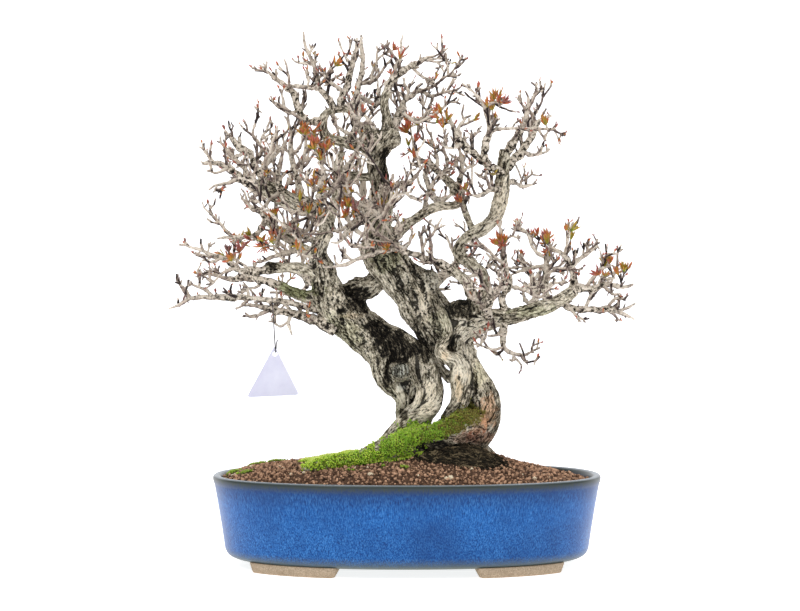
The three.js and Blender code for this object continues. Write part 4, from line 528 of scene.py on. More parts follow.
def smooth_path(points: Array, steps: int) -> Array:
    """A uniform Catmull-Rom curve through points, whose ends run on straight.

    Args:
        points: (n, k) values to pass through, places or radii.
        steps: how many equal steps of the curve's parameter to take.

    Returns:
        (steps + 1, k) values on the curve.
    """
    points = np.asarray(points, float)
    padded = np.vstack([2 * points[0] - points[1], points, 2 * points[-1] - points[-2]])
    at = np.linspace(0, len(points) - 1, steps + 1)
    index = np.minimum(at.astype(int), len(points) - 2)
    t = (at - index)[:, None]
    p0, p1, p2, p3 = (padded[index + k] for k in range(4))
    bend = 2 * p0 - 5 * p1 + 4 * p2 - p3 + t * (3 * (p1 - p2) + p3 - p0)
    return p1 + 0.5 * t * (p2 - p0 + t * bend)


def linear_values(values: Array, steps: int) -> Array:
    """Values that run straight from one to the next, at equal steps over all of them."""
    at = np.linspace(0, len(values) - 1, steps + 1)
    return np.interp(at, np.arange(len(values)), values)


class Ripple:
    """Smooth seeded noise from 0 to 1: random values on a wrapping lattice, blended between."""

    def __init__(self, draw: np.random.Generator, size: int = 48) -> None:
        """Draws the lattice's values."""
        self.size = size
        self.values = draw.random((size, size, size))

    def at(self, points: Array) -> Array:
        """One layer of noise.

        Args:
            points: (n, 3) places, one lattice step apart where values change.

        Returns:
            (n,) values from 0 to 1.
        """
        low = np.floor(points).astype(int)
        share = points - low
        share = share * share * (3 - 2 * share)
        total = np.zeros(len(points))
        for corner in np.ndindex(2, 2, 2):
            index = (low + corner) % self.size
            weight = np.prod(np.where(corner, share, 1 - share), axis=1)
            total += weight * self.values[index[:, 0], index[:, 1], index[:, 2]]
        return total

    def layered(self, points: Array, layers: int = 3) -> Array:
        """Noise of several layers, each twice as fine and half as strong as the last."""
        rows = [0.5**k * self.at(points * 2**k + 7.3 * k) for k in range(layers)]
        return np.sum(rows, axis=0) / np.sum(0.5 ** np.arange(layers))


@dataclass
class Shape:
    """Points in mm with faces and values, gathered from many closed forms into one mesh."""

    points: list[Array] = field(default_factory=list)
    quads: list[Array] = field(default_factory=list)
    triangles: list[Array] = field(default_factory=list)
    quad_slots: list[Array] = field(default_factory=list)
    triangle_slots: list[Array] = field(default_factory=list)
    values: dict[str, list[Array]] = field(default_factory=dict)
    count: int = 0

    def add(self, points: Array, quads: Array, triangles: Array, slot: int = 0, **values: Array) -> None:
        """Adds closed forms.

        Args:
            points: (n, 3) places in mm.
            quads: (q, 4) corners, counted from these points.
            triangles: (t, 3) corners, counted from these points.
            slot: the material's place in the piece's list.
            values: for each name, one value or one row for each point.
        """
        self.points.append(points)
        self.quads.append(quads + self.count)
        self.triangles.append(triangles + self.count)
        self.quad_slots.append(np.full(len(quads), slot))
        self.triangle_slots.append(np.full(len(triangles), slot))
        for name, rows in values.items():
            self.values.setdefault(name, []).append(rows)
        self.count += len(points)

    def add_copies(self, points: Array, faces: list, slot: int = 0, **values: Array) -> None:
        """Adds many forms of triangles that have the same corners and faces.

        Args:
            points: (forms, corners, 3) places in mm.
            faces: (t, 3) corners of one form.
            slot: the material's place in the piece's list.
            values: for each name, what spreads over (forms, corners).
        """
        forms, corners = points.shape[:2]
        triangles = (np.array(faces) + corners * np.arange(forms)[:, None, None]).reshape(-1, 3)
        spread = {name: np.broadcast_to(rows, (forms, corners)).ravel() for name, rows in values.items()}
        self.add(points.reshape(-1, 3), NO_QUADS, triangles, slot, **spread)

    def hold(self, margin: float = 0.3) -> None:
        """Presses every point back inside the CAD box."""
        self.points = [np.clip(rows, BOX_LOW + margin, BOX_HIGH - margin) for rows in self.points]

    def mesh(self, name: str, smooth: bool = True) -> bpy.types.Mesh:
        """The gathered forms as a Blender mesh in metres.

        Args:
            name: the mesh's name.
            smooth: whether its faces are shaded smooth.

        Returns:
            The new mesh, with each value as a point attribute.
        """
        points = np.concatenate(self.points) * MM
        quads = np.concatenate(self.quads).reshape(-1, 4)
        triangles = np.concatenate(self.triangles).reshape(-1, 3)
        corners = np.concatenate([quads.ravel(), triangles.ravel()])
        starts = np.concatenate([np.arange(len(quads)) * 4, 4 * len(quads) + np.arange(len(triangles)) * 3])
        mesh = bpy.data.meshes.new(name)
        mesh.vertices.add(len(points))
        mesh.vertices.foreach_set("co", points.astype(np.float32).ravel())
        mesh.loops.add(len(corners))
        mesh.loops.foreach_set("vertex_index", corners.astype(np.int32))
        mesh.polygons.add(len(starts))
        mesh.polygons.foreach_set("loop_start", starts.astype(np.int32))
        slots = np.concatenate(self.quad_slots + self.triangle_slots)
        mesh.polygons.foreach_set("material_index", slots.astype(np.int32))
        mesh.polygons.foreach_set("use_smooth", np.full(len(starts), smooth))
        for key, rows in self.values.items():
            rows = np.concatenate(rows).astype(np.float32)
            kind = "FLOAT" if rows.ndim == 1 else "FLOAT_VECTOR"
            layer = mesh.attributes.new(key, kind, "POINT")
            layer.data.foreach_set("value" if rows.ndim == 1 else "vector", rows.ravel())
        mesh.update(calc_edges=True)
        mesh.validate()
        return mesh

    def piece(self, name: str, finishes: list, replaces: tuple = (),
              smooth: bool = True) -> bpy.types.Object:
        """Makes the piece, dresses it and fixes it to the part.

        Args:
            name: the piece's name.
            finishes: its finishes, in the order of the forms' slots.
            replaces: the CAD nodes that it stands for.
            smooth: whether its faces are shaded smooth.

        Returns:
            The new object, at the origin.
        """
        mesh = self.mesh(name, smooth)
        for finish in finishes:
            mesh.materials.append(finish.material())
        made = bpy.data.objects.new(name, mesh)
        bpy.context.collection.objects.link(made)
        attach(made, "root")
        if replaces:
            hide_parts(*replaces)
        LOG.info("%s: %d triangles", name, len(mesh.loops) - 2 * len(mesh.polygons))
        return made


def carried_frames(centres: Array) -> tuple[Array, Array, Array]:
    """Frames that are carried along paths without turning round them.

    Args:
        centres: (tubes, rings, 3) places.

    Returns:
        Tangents, sides and the vectors square to both, each (tubes, rings, 3).
    """
    ahead = np.concatenate([centres[:, 1:], centres[:, -1:]], axis=1)
    behind = np.concatenate([centres[:, :1], centres[:, :-1]], axis=1)
    tangents = unit(ahead - behind)
    side = square_to(tangents[:, 0])
    sides = []
    for tangent in np.moveaxis(tangents, 1, 0):
        side = unit(side - np.sum(side * tangent, axis=1, keepdims=True) * tangent)
        sides.append(side)
    sides = np.stack(sides, axis=1)
    return tangents, sides, np.cross(tangents, sides)


def closed_rings(ring: Array, poles: Array, turned: bool = False) -> tuple[Array, Array, Array]:
    """Closed skins through rings of points, with a fan from a pole at each end.

    Args:
        ring: (skins, rings, count, 3) places in mm.
        poles: (skins, 2, 3) the middles of the first and the last ring.
        turned: whether the faces' order is reversed, so that they point outwards.

    Returns:
        Points, quads and triangles.
    """
    skins, rings, count = ring.shape[:3]
    points = np.concatenate([ring.reshape(skins, -1, 3), poles], axis=1)
    size = rings * count + 2
    corner = np.arange(count)
    following = (corner + 1) % count
    base = np.arange(rings - 1)[:, None] * count
    near, far = base + corner, base + following
    quads = np.stack([near, far, far + count, near + count], axis=-1)
    last = (rings - 1) * count
    caps = np.concatenate([np.stack([np.full(count, size - 2), following, corner], axis=-1),
                           np.stack([np.full(count, size - 1), last + corner, last + following], axis=-1)])
    if turned:
        quads, caps = quads[..., ::-1], caps[..., ::-1]
    shift = (np.arange(skins) * size)[:, None, None]
    quads = (quads.reshape(1, -1, 4) + shift).reshape(-1, 4)
    return points.reshape(-1, 3), quads, (caps[None] + shift).reshape(-1, 3)


def swept(centres: Array, across: Array, count: int,
          through: Array | None = None) -> tuple[Array, Array, Array]:
    """Closed tubes along many paths at once.

    A ring's point is centre + across * cos(angle) * side + through * sin(angle) * other.

    Args:
        centres: (tubes, rings, 3) places in mm.
        across: (tubes, rings) half widths in mm.
        count: how many points a ring has.
        through: half widths the other way, if they differ.

    Returns:
        Points, quads and triangles.
    """
    _, sides, others = carried_frames(centres)
    angle = np.arange(count) * 2 * np.pi / count
    deep = across if through is None else through
    ring = centres[:, :, None] + (across[..., None] * np.cos(angle))[..., None] * sides[:, :, None]
    ring = ring + (deep[..., None] * np.sin(angle))[..., None] * others[:, :, None]
    return closed_rings(ring, centres[:, [0, -1]])


def per_ring(values: Array, count: int) -> Array:
    """Spreads (tubes, rings) values to the points that swept makes."""
    rows = np.repeat(values, count, axis=1)
    return np.concatenate([rows, values[:, [0, -1]]], axis=1).ravel()


def point_normals(points: Array, quads: Array) -> Array:
    """Normals of a mesh of quads: at each point the sum of the cross products of its faces' diagonals.

    Args:
        points: (n, 3) places.
        quads: (q, 4) corners.

    Returns:
        (n, 3) unit vectors.
    """
    first, second, third, fourth = (points[quads[:, k]] for k in range(4))
    normal = np.cross(third - first, fourth - second)
    total = [np.bincount(quads.ravel(), np.repeat(normal[:, k], 4), len(points)) for k in range(3)]
    return unit(np.stack(total, axis=1))


def relaxed(values: Array, quads: Array, rounds: int) -> Array:
    """Replaces each point's value by the mean of its neighbours', a number of times.

    Args:
        values: (n,) or (n, k) values.
        quads: (q, 4) corners of the mesh.
        rounds: how many times.

    Returns:
        The smoothed values.
    """
    start = quads.ravel()
    end = np.roll(quads, -1, axis=1).ravel()
    degree = np.maximum(np.bincount(start, minlength=len(values)), 1)
    columns = np.atleast_2d(values.T)
    for _ in range(rounds):
        columns = np.stack([np.bincount(end, column[start], len(values)) / degree for column in columns])
    return columns.T.reshape(values.shape)


def tone(red: int, green: int, blue: int) -> Colour:
    """A display colour from 0 to 255 as the linear colour that a shader takes."""
    shares = np.array([red, green, blue]) / 255
    return (*np.where(shares <= 0.04045, shares / 12.92, ((shares + 0.055) / 1.055) ** 2.4).tolist(), 1.0)


class Paint:
    """A material's node tree, built a node at a time. A feed is another node's output or a plain value."""

    def __init__(self, name: str) -> None:
        """Starts a material with a surface shader.

        Args:
            name: the material's name.
        """
        self.material = bpy.data.materials.new(name)
        self.material.use_nodes = True
        self.tree = self.material.node_tree

    def feed(self, node: bpy.types.Node, feeds: dict) -> None:
        """Links outputs to a node's inputs, or sets the inputs' own values.

        Args:
            node: the node that is fed.
            feeds: a feed for the name or the number of each input.
        """
        for key, value in feeds.items():
            if isinstance(value, Socket):
                self.tree.links.new(value, node.inputs[key])
            else:
                node.inputs[key].default_value = value

    def node(self, kind: str, output: str | int, feeds: dict | None = None, **settings: str) -> Socket:
        """Adds a node.

        Args:
            kind: the node's type.
            output: the name or the number of the output that is wanted.
            feeds: a feed for the name or the number of each input.
            settings: the node's options.

        Returns:
            The output.
        """
        made = self.tree.nodes.new(kind)
        for key, value in settings.items():
            setattr(made, key, value)
        self.feed(made, feeds or {})
        return made.outputs[output]

    def place(self, scale: tuple[float, float, float] = (1, 1, 1)) -> Socket:
        """Object coordinates in metres, stretched by a scale."""
        return self.stretched(self.node("ShaderNodeTexCoord", "Object"), scale)

    def stretched(self, vector: Socket, scale: tuple[float, float, float]) -> Socket:
        """A vector with each of its parts scaled."""
        return self.node("ShaderNodeMapping", "Vector", {"Vector": vector, "Scale": scale})

    def value(self, name: str, vector: bool = False) -> Socket:
        """A point attribute of the piece."""
        return self.node("ShaderNodeAttribute", "Vector" if vector else "Fac", attribute_name=name)

    def noise(self, scale: float, detail: float = 4.0, roughness: float = 0.6, distortion: float = 0.0,
              where: Socket | None = None) -> Socket:
        """Layered noise from 0 to 1.

        Args:
            scale: how fine it is.
            detail: how many layers it has.
            roughness: how strong the finer layers are.
            distortion: how far it is drawn awry.
            where: its coordinates, if they aren't the object's.

        Returns:
            The noise.
        """
        return self.node("ShaderNodeTexNoise", "Fac", {
            "Vector": self.place() if where is None else where, "Scale": scale, "Detail": detail,
            "Roughness": roughness, "Distortion": distortion})

    def cells(self, scale: float) -> Socket:
        """Distance to the nearest middle in a pattern of cells."""
        return self.node("ShaderNodeTexVoronoi", "Distance", {"Vector": self.place(), "Scale": scale})

    def ramp(self, factor: Socket, stops: list[tuple[float, Colour]]) -> Socket:
        """A colour for each value of a factor, blended between stops.

        Args:
            factor: the value that picks the colour.
            stops: positions from 0 to 1, each with its colour.

        Returns:
            The colour.
        """
        colour = self.node("ShaderNodeValToRGB", "Color", {"Fac": factor})
        elements = colour.node.color_ramp.elements
        while len(elements) < len(stops):
            elements.new(0.5)
        for element, (position, shade) in zip(elements, stops):
            element.position, element.color = position, shade
        return colour

    def span(self, factor: Socket, low: float, high: float, bottom: float = 0.0, top: float = 1.0) -> Socket:
        """A factor's span from low to high, spread over bottom to top and held at the ends."""
        return self.node("ShaderNodeMapRange", "Result", {
            "Value": factor, "From Min": low, "From Max": high, "To Min": bottom, "To Max": top})

    def mix(self, factor: object, first: object, second: object, blend: str = "MIX") -> Socket:
        """Two colours mixed by a factor."""
        feeds = {"Factor": factor, MIX_COLOURS[0]: first, MIX_COLOURS[1]: second}
        return self.node("ShaderNodeMix", MIX_RESULT, feeds, data_type="RGBA", blend_type=blend)

    def reckon(self, operation: str, first: object, second: object) -> Socket:
        """Arithmetic on two numbers."""
        return self.node("ShaderNodeMath", "Value", {0: first, 1: second}, operation=operation)

    def relief(self, height: Socket, depth: float, strength: float = 1.0, **under: Socket) -> Socket:
        """A bump of this depth in mm, laid over the one that is given as Normal."""
        feeds = {"Height": height, "Distance": depth * MM, "Strength": strength, **under}
        return self.node("ShaderNodeBump", "Normal", feeds)

    def finish(self, colour: object, roughness: float, **others: object) -> bpy.types.Material:
        """Sets the shader.

        Args:
            colour: the base colour.
            roughness: the roughness.
            others: feeds of the shader's other inputs, with _ for a space.

        Returns:
            The finished material.
        """
        feeds = {"Base Color": colour, "Roughness": roughness}
        feeds |= {key.replace("_", " "): value for key, value in others.items()}
        self.feed(self.tree.nodes["Principled BSDF"], feeds)
        return self.material


@dataclass(frozen=True)
class BarkFinish:
    """Old bark: cream flakes and plates over dark cracks, lightened and tinted by zones, darkened by zones
    and hollows, mostly as painted shade.
    """

    cream: Colour = tone(244, 236, 218)
    pale: Colour = tone(208, 199, 178)
    plate: Colour = tone(146, 138, 119)
    shade: Colour = tone(76, 70, 59)
    crack: Colour = tone(18, 16, 13)
    moss: Colour = tone(104, 122, 44)
    drawn_out: tuple = (0.19, 0.76, 0.76)
    flaky: tuple = (0.3, 0.5, 0.5)

    def material(self) -> bpy.types.Material:
        """Colours follow the strands through the grain attribute, in mm along and across them.

        Returns:
            The material.
        """
        paint = Paint("old_bark")
        grain = paint.value("grain", vector=True)
        strips = paint.noise(1.0, 5.0, 0.68, 0.5, paint.stretched(grain, self.drawn_out))
        flakes = paint.noise(1.0, 5.0, 0.66, where=paint.stretched(grain, self.flaky))
        flakes = paint.span(flakes, 0.2, 0.8, 0.265, 0.775)
        specks = paint.noise(0.85, 3.0, 0.6, where=grain)
        tonal = paint.mix(paint.value("grit"), strips, flakes)
        stops = [(0.39, self.crack), (0.44, self.shade), (0.492, self.plate), (0.54, self.pale),
                 (0.6, self.cream)]
        # tone and tint carry the stains and the patches of painted shade
        base = paint.ramp(paint.reckon("ADD", tonal, paint.value("tone")), stops)
        tinted = paint.mix(1.0, base, paint.value("tint", vector=True), "MULTIPLY")
        mossed = paint.mix(paint.value("moss"), tinted, self.moss)
        # Hollows are painted near-black: dark cracks in the bark, and painted shade in the wider recesses
        # between strands
        hollow_cracks_and_shade = paint.span(paint.value("hollow"), 0.12, 0.66, 0, 0.92)
        pits = paint.span(specks, 0.3, 0.39, 0.5, 0)
        colour = paint.mix(paint.reckon("MAXIMUM", hollow_cracks_and_shade, pits), mossed, self.crack)
        coarse = paint.relief(strips, 1.4, 0.8, Normal=paint.relief(flakes, 1.1))
        return paint.finish(colour, 0.9, Normal=coarse, Specular_IOR_Level=0.15)


@dataclass(frozen=True)
class TwigFinish:
    """Young bark: pale cream and pinkish grey, painted light above and painted shade below, rough and
    cracked where thick.
    """

    pale: Colour = tone(224, 213, 198)
    tan: Colour = tone(186, 171, 156)
    mauve: Colour = tone(126, 110, 103)
    dusk: Colour = tone(48, 39, 38)
    plate: Colour = tone(170, 160, 141)
    shade: Colour = tone(94, 84, 73)
    crack: Colour = tone(24, 20, 17)

    def material(self) -> bpy.types.Material:
        """Each twig has its own tint, varied in patches, with painted top light; thick ones are plated as
        old bark is.

        Returns:
            The material.
        """
        paint = Paint("young_bark")
        patches = paint.noise(160.0, 3.0)
        streaks = paint.noise(330.0, 4.0, 0.7)
        # upward is the surface normal's upward part: it paints upper sides lighter and undersides darker
        upward = paint.value("upward")
        tint = paint.reckon("ADD", paint.value("tint"), paint.span(patches, 0.3, 0.7, -0.3, 0.3))
        tint = paint.reckon("ADD", tint, paint.reckon("MULTIPLY", upward, 0.36))
        young = paint.ramp(tint, [(0.0, self.dusk), (0.22, self.mauve), (0.48, self.tan), (0.82, self.pale)])
        # The thick twigs' plated ramp also takes a little painted top light
        worn = paint.reckon("ADD", streaks, paint.reckon("MULTIPLY", upward, 0.06))
        stops = [(0.42, self.crack), (0.455, self.shade), (0.5, self.plate), (0.56, self.pale)]
        base = paint.mix(paint.span(paint.value("thickness"), 1.4, 2.8), young, paint.ramp(worn, stops))
        colour = paint.mix(paint.span(streaks, 0.36, 0.46, 0.8, 0), base, self.crack)
        return paint.finish(colour, 0.8, Normal=paint.relief(streaks, 0.7, 0.9), Specular_IOR_Level=0.2)


@dataclass(frozen=True)
class LeafFinish:
    """Young leaves that open red and turn through orange-brown to olive and green at their feet."""

    bud: Colour = tone(126, 96, 90)
    pink: Colour = tone(160, 92, 86)
    coral: Colour = tone(194, 96, 70)
    rust: Colour = tone(196, 120, 56)
    olive: Colour = tone(172, 150, 56)
    green: Colour = tone(142, 168, 46)

    def material(self) -> bpy.types.Material:
        """The tint is each cluster's age; every leaf is greener towards its foot.

        Returns:
            The material.
        """
        paint = Paint("young_leaf")
        age = paint.value("tint")
        blade = paint.ramp(age, [(0.0, self.bud), (0.25, self.pink), (0.5, self.coral), (0.75, self.rust),
                                 (1.0, self.olive)])
        foot = paint.ramp(age, [(0.0, self.bud), (0.35, self.rust), (0.6, self.olive), (0.95, self.green)])
        mottle = paint.noise(700.0, 3.0)
        along = paint.reckon("ADD", paint.value("along"), paint.span(mottle, 0.3, 0.7, -0.15, 0.15))
        colour = paint.mix(paint.span(along, 0.1, 0.6), foot, blade)
        return paint.finish(colour, 0.45, Normal=paint.relief(mottle, 0.15, 0.5), Specular_IOR_Level=0.4,
                            Subsurface_Weight=0.1, Subsurface_Scale=0.001)


@dataclass(frozen=True)
class GlazeFinish:
    """Running blue glaze with fine upright streaks and flecks, grey at the rim and olive at the foot."""

    blue: Colour = tone(16, 88, 160)
    deep: Colour = tone(6, 54, 112)
    light: Colour = tone(64, 128, 192)
    band: Colour = tone(20, 44, 88)
    rim: Colour = tone(54, 62, 60)
    lip: Colour = tone(128, 138, 146)
    foot: Colour = tone(88, 94, 74)

    def material(self) -> bpy.types.Material:
        """Streaks are noise stretched along Z, long near the rim; the bands follow the height in metres.

        Returns:
            The material.
        """
        paint = Paint("blue_glaze")
        height = paint.node("ShaderNodeSeparateXYZ", "Z", {"Vector": paint.place()})
        runs = paint.noise(1500.0, where=paint.place((1, 1, 0.08)))
        flecks = paint.noise(1300.0, 4.0, 0.65, where=paint.place((1, 1, 0.5)))
        clouds = paint.noise(24.0, 3.0)
        stops = [(0.39, self.deep), (0.5, self.blue), (0.62, self.light)]
        blue = paint.ramp(paint.mix(paint.span(height, 0.03, 0.066), flecks, runs), stops)
        clouded = paint.mix(paint.span(clouds, 0.4, 0.7, 0, 0.6), blue, self.deep)
        wavy = paint.reckon("ADD", height, paint.span(runs, 0.35, 0.65, -0.0016, 0.0016))
        banded = paint.mix(paint.span(wavy, 0.055, 0.0715, 0, 0.7), clouded, self.band)
        rim = paint.mix(paint.span(wavy, 0.0675, 0.0735), banded, self.rim)
        lip = paint.mix(paint.span(height, 0.0748, 0.0758), rim, self.lip)
        foot = paint.mix(paint.span(wavy, 0.0085, 0.017, 0.9, 0), lip, self.foot)
        return paint.finish(foot, 0.36, Normal=paint.relief(flecks, 0.05, 0.3), Specular_IOR_Level=0.16,
                            Coat_Weight=0.05, Coat_Roughness=0.15)


@dataclass(frozen=True)
class ClayFinish:
    """Unglazed tan stoneware, fine and speckled."""

    clay: Colour = tone(202, 182, 156)
    dusk: Colour = tone(140, 122, 100)

    def material(self) -> bpy.types.Material:
        """Two sizes of speckle.

        Returns:
            The material.
        """
        paint = Paint("bare_clay")
        speckle = paint.noise(1100.0, 5.0, 0.7)
        base = paint.mix(paint.span(speckle, 0.35, 0.65), self.dusk, self.clay)
        colour = paint.mix(paint.span(paint.noise(110.0, 3.0), 0.5, 0.75, 0, 0.5), base, self.dusk)
        return paint.finish(colour, 0.92, Normal=paint.relief(speckle, 0.25), Specular_IOR_Level=0.2)


@dataclass(frozen=True)
class SoilFinish:
    """The red-brown granular soil, black where fine roots mat it and green where moss creeps."""

    # The bed is darker than the loose grains: soil colour, and painted shade in the gaps between them
    brown: Colour = tone(116, 88, 70)
    dusk: Colour = tone(46, 34, 28)
    felt: Colour = tone(46, 38, 30)
    moss: Colour = tone(86, 116, 36)

    def material(self) -> bpy.types.Material:
        """Grains of two sizes, and the moss and mat attributes over them.

        Returns:
            The material.
        """
        paint = Paint("red_soil")
        base = paint.mix(paint.span(paint.noise(1600.0), 0.35, 0.65), self.dusk, self.brown)
        matted = paint.mix(paint.value("mat"), base, self.felt)
        mossed = paint.mix(paint.value("moss"), matted, self.moss)
        grains = paint.relief(paint.cells(520.0), 1.2)
        return paint.finish(mossed, 0.96, Normal=grains, Specular_IOR_Level=0.1)


@dataclass(frozen=True)
class GrainFinish:
    """Loose soil grains, each its own red-brown, some black and a few pale."""

    black: Colour = tone(50, 38, 31)
    brown: Colour = tone(156, 121, 97)
    russet: Colour = tone(230, 185, 152)
    sand: Colour = tone(246, 230, 200)

    def material(self) -> bpy.types.Material:
        """The shade attribute picks each grain's colour.

        Returns:
            The material.
        """
        paint = Paint("soil_grains")
        dust = paint.noise(1500.0)
        base = paint.ramp(paint.value("shade"), [(0.0, self.black), (0.3, self.brown), (0.85, self.russet),
                                                 (0.988, self.russet), (0.992, self.sand)])
        colour = paint.mix(paint.span(dust, 0.36, 0.56, 0.4, 0), base, self.black)
        return paint.finish(colour, 0.95, Normal=paint.relief(dust, 0.3), Specular_IOR_Level=0.15)


@dataclass(frozen=True)
class FibreFinish:
    """Fine surface roots, black-brown to tan."""

    black: Colour = tone(30, 28, 21)
    brown: Colour = tone(66, 56, 42)
    tan: Colour = tone(132, 118, 92)

    def material(self) -> bpy.types.Material:
        """The shade attribute picks each fibre's colour.

        Returns:
            The material.
        """
        paint = Paint("fine_roots")
        varied = paint.span(paint.noise(900.0, 3.0), 0.3, 0.7, -0.2, 0.2)
        shade = paint.reckon("ADD", paint.value("shade"), varied)
        colour = paint.ramp(shade, [(0.1, self.black), (0.55, self.brown), (1.0, self.tan)])
        return paint.finish(colour, 0.9, Specular_IOR_Level=0.15)


@dataclass(frozen=True)
class MossFinish:
    """Moss leaves: bright yellow-green on the soil, deeper on the root, olive-brown where dry."""

    foot: Colour = tone(154, 220, 60)
    deep: Colour = tone(122, 160, 44)
    bright: Colour = tone(226, 255, 88)
    dry: Colour = tone(112, 84, 44)

    def material(self) -> bpy.types.Material:
        """Colour by each tuft's freshness and dryness, darker at its foot.

        Returns:
            The material.
        """
        paint = Paint("moss")
        fresh = paint.mix(paint.value("fresh"), self.deep, self.bright)
        dried = paint.mix(paint.value("dry"), fresh, self.dry)
        varied = paint.mix(paint.span(paint.noise(900.0, 3.0), 0.45, 0.7, 0, 0.45), dried, self.bright)
        footing = paint.mix(paint.value("dry"), self.foot, self.dry)
        colour = paint.mix(paint.span(paint.value("along"), 0.0, 0.75), footing, varied)
        return paint.finish(colour, 0.7, Specular_IOR_Level=0.3, Subsurface_Weight=0.5,
                            Subsurface_Scale=0.0025, Subsurface_Radius=(0.6, 1.0, 0.3))


@dataclass(frozen=True)
class TagFinish:
    """Pale lavender-white plastic, with a faint haze."""

    white: Colour = tone(222, 223, 238)
    haze: Colour = tone(208, 208, 228)

    def material(self) -> bpy.types.Material:
        """A cloud of haze and a fine orange-peel.

        Returns:
            The material.
        """
        paint = Paint("tag_plastic")
        colour = paint.mix(paint.span(paint.noise(45.0, 3.0), 0.35, 0.65), self.white, self.haze)
        peel = paint.relief(paint.noise(1400.0, 2.0), 0.03, 0.5)
        return paint.finish(colour, 0.38, Normal=peel, Specular_IOR_Level=0.5)


@dataclass(frozen=True)
class WireFinish:
    """Dark coated wire with a worn sheen."""

    dark: Colour = tone(38, 32, 36)
    worn: Colour = tone(92, 82, 88)

    def material(self) -> bpy.types.Material:
        """Worn patches on a dark coat.

        Returns:
            The material.
        """
        paint = Paint("coated_wire")
        wear = paint.noise(320.0)
        colour = paint.mix(paint.span(wear, 0.52, 0.66), self.dark, self.worn)
        return paint.finish(colour, 0.45, Normal=paint.relief(wear, 0.05), Metallic=0.1)


@dataclass(frozen=True)
class ScreenFinish:
    """Black moulded mesh, dusted with soil."""

    black: Colour = tone(34, 36, 34)
    dust: Colour = tone(92, 70, 58)

    def material(self) -> bpy.types.Material:
        """Dust lies in clouds.

        Returns:
            The material.
        """
        paint = Paint("screen_plastic")
        dust = paint.noise(260.0)
        colour = paint.mix(paint.span(dust, 0.5, 0.75), self.black, self.dust)
        return paint.finish(colour, 0.6, Normal=paint.relief(dust, 0.1))


@dataclass(frozen=True)
class PaperFinish:
    """The plain white sweep behind and under the part."""

    white: Colour = tone(246, 246, 248)

    def material(self) -> bpy.types.Material:
        """Plain matt white, which glows a little."""
        return Paint("white_sweep").finish(self.white, 0.9, Specular_IOR_Level=0.1,
                                           Emission_Color=self.white, Emission_Strength=0.85)


@dataclass
class Studio:
    """The camera at the photo's angle, soft lights and a white sweep."""

    eye_left: float = 5.7
    focal_pixels: float = 2381.0
    frame_pixels: float = 800.0
    sensor: float = 36.0
    horizon_row: float = 286.5
    middle_row: float = 305.5
    sweep_reach: float = 3200.0
    sweep_radius: float = 900.0
    air_glow: float = 0.3
    softboxes: tuple = (("key_softbox", (-1.1, -1.6, 1.9), (1.2, 1.2), 27.0),
                        ("fill_softbox", (1.7, -1.3, 0.9), (0.9, 1.5), 9.0),
                        ("top_softbox", (0.1, 0.2, 2.2), (1.6, 1.2), 16.0),
                        ("left_panel", (-1.35, 1.05, 0.45), (0.55, 1.5), 1.8),
                        ("right_panel", (1.35, 1.05, 0.45), (0.55, 1.5), 3.2))

    def camera(self) -> None:
        """A long lens at the height of the crown, tipped down a little."""
        data = bpy.data.cameras.new("front_camera")
        data.sensor_width = self.sensor
        data.lens = self.sensor * self.focal_pixels / self.frame_pixels
        data.clip_start, data.clip_end = 0.05, 50.0
        data.dof.use_dof = False
        made = bpy.data.objects.new("front_camera", data)
        made.location = ((POT_MIDDLE_X - self.eye_left) * MM, -VIEW.distance * MM, VIEW.eye_height * MM)
        tip = math.atan((self.middle_row - self.horizon_row) / self.focal_pixels)
        made.rotation_euler = (math.pi / 2 - tip, 0, 0)
        bpy.context.collection.objects.link(made)
        bpy.context.scene.camera = made

    def light(self, name: str, place: tuple, size: tuple, power: float) -> None:
        """A soft area light that looks at the middle of the tree.

        Args:
            name: the light's name.
            place: where it stands, in metres.
            size: its width and height in metres.
            power: its power in watts.
        """
        data = bpy.data.lights.new(name, "AREA")
        data.shape = "RECTANGLE"
        data.size, data.size_y = size
        data.energy = power
        made = bpy.data.objects.new(name, data)
        made.location = place
        aim = np.array([0, 0, VIEW.eye_height * MM]) - np.array(place)
        flat = math.hypot(aim[0], aim[1])
        made.rotation_euler = (math.atan2(flat, -aim[2]), 0, math.atan2(-aim[0], aim[1]))
        bpy.context.collection.objects.link(made)

    def sweep(self) -> None:
        """A floor that bends up behind the part: a quarter circle between two flats."""
        bend = np.linspace(0, math.pi / 2, 17)
        reach, radius = self.sweep_reach, self.sweep_radius
        depth = np.concatenate([[-reach], reach - radius + radius * np.sin(bend), [reach]])
        height = np.concatenate([[0], radius - radius * np.cos(bend), [2 * reach]])
        wide = np.array([-reach, reach])
        grid = np.stack(np.broadcast_arrays(wide[:, None], depth[None], height[None]), axis=-1)
        rows = len(depth)
        start = np.arange(rows - 1)
        quads = np.stack([start, start + rows, start + rows + 1, start + 1], axis=-1)
        shape = Shape()
        shape.add(grid.reshape(-1, 3), quads, NO_TRIANGLES)
        mesh = shape.mesh("white_sweep")
        mesh.materials.append(PaperFinish().material())
        made = bpy.data.objects.new("white_sweep", mesh)
        bpy.context.collection.objects.link(made)

    def build(self) -> None:
        """Sets up everything that isn't part of the object."""
        self.camera()
        self.sweep()
        for softbox in self.softboxes:
            self.light(*softbox)
        world = bpy.data.worlds.new("studio_air")
        world.use_nodes = True
        air = world.node_tree.nodes["Background"]
        air.inputs["Color"].default_value = (1.0, 1.0, 1.0, 1.0)
        air.inputs["Strength"].default_value = self.air_glow
        bpy.context.scene.world = world
        bpy.context.scene.view_settings.view_transform = "Standard"


def squared_off(parts: Array, power: float) -> Array:
    """Cosines or sines raised to a power, with their signs kept."""
    return np.sign(parts) * np.abs(parts) ** power


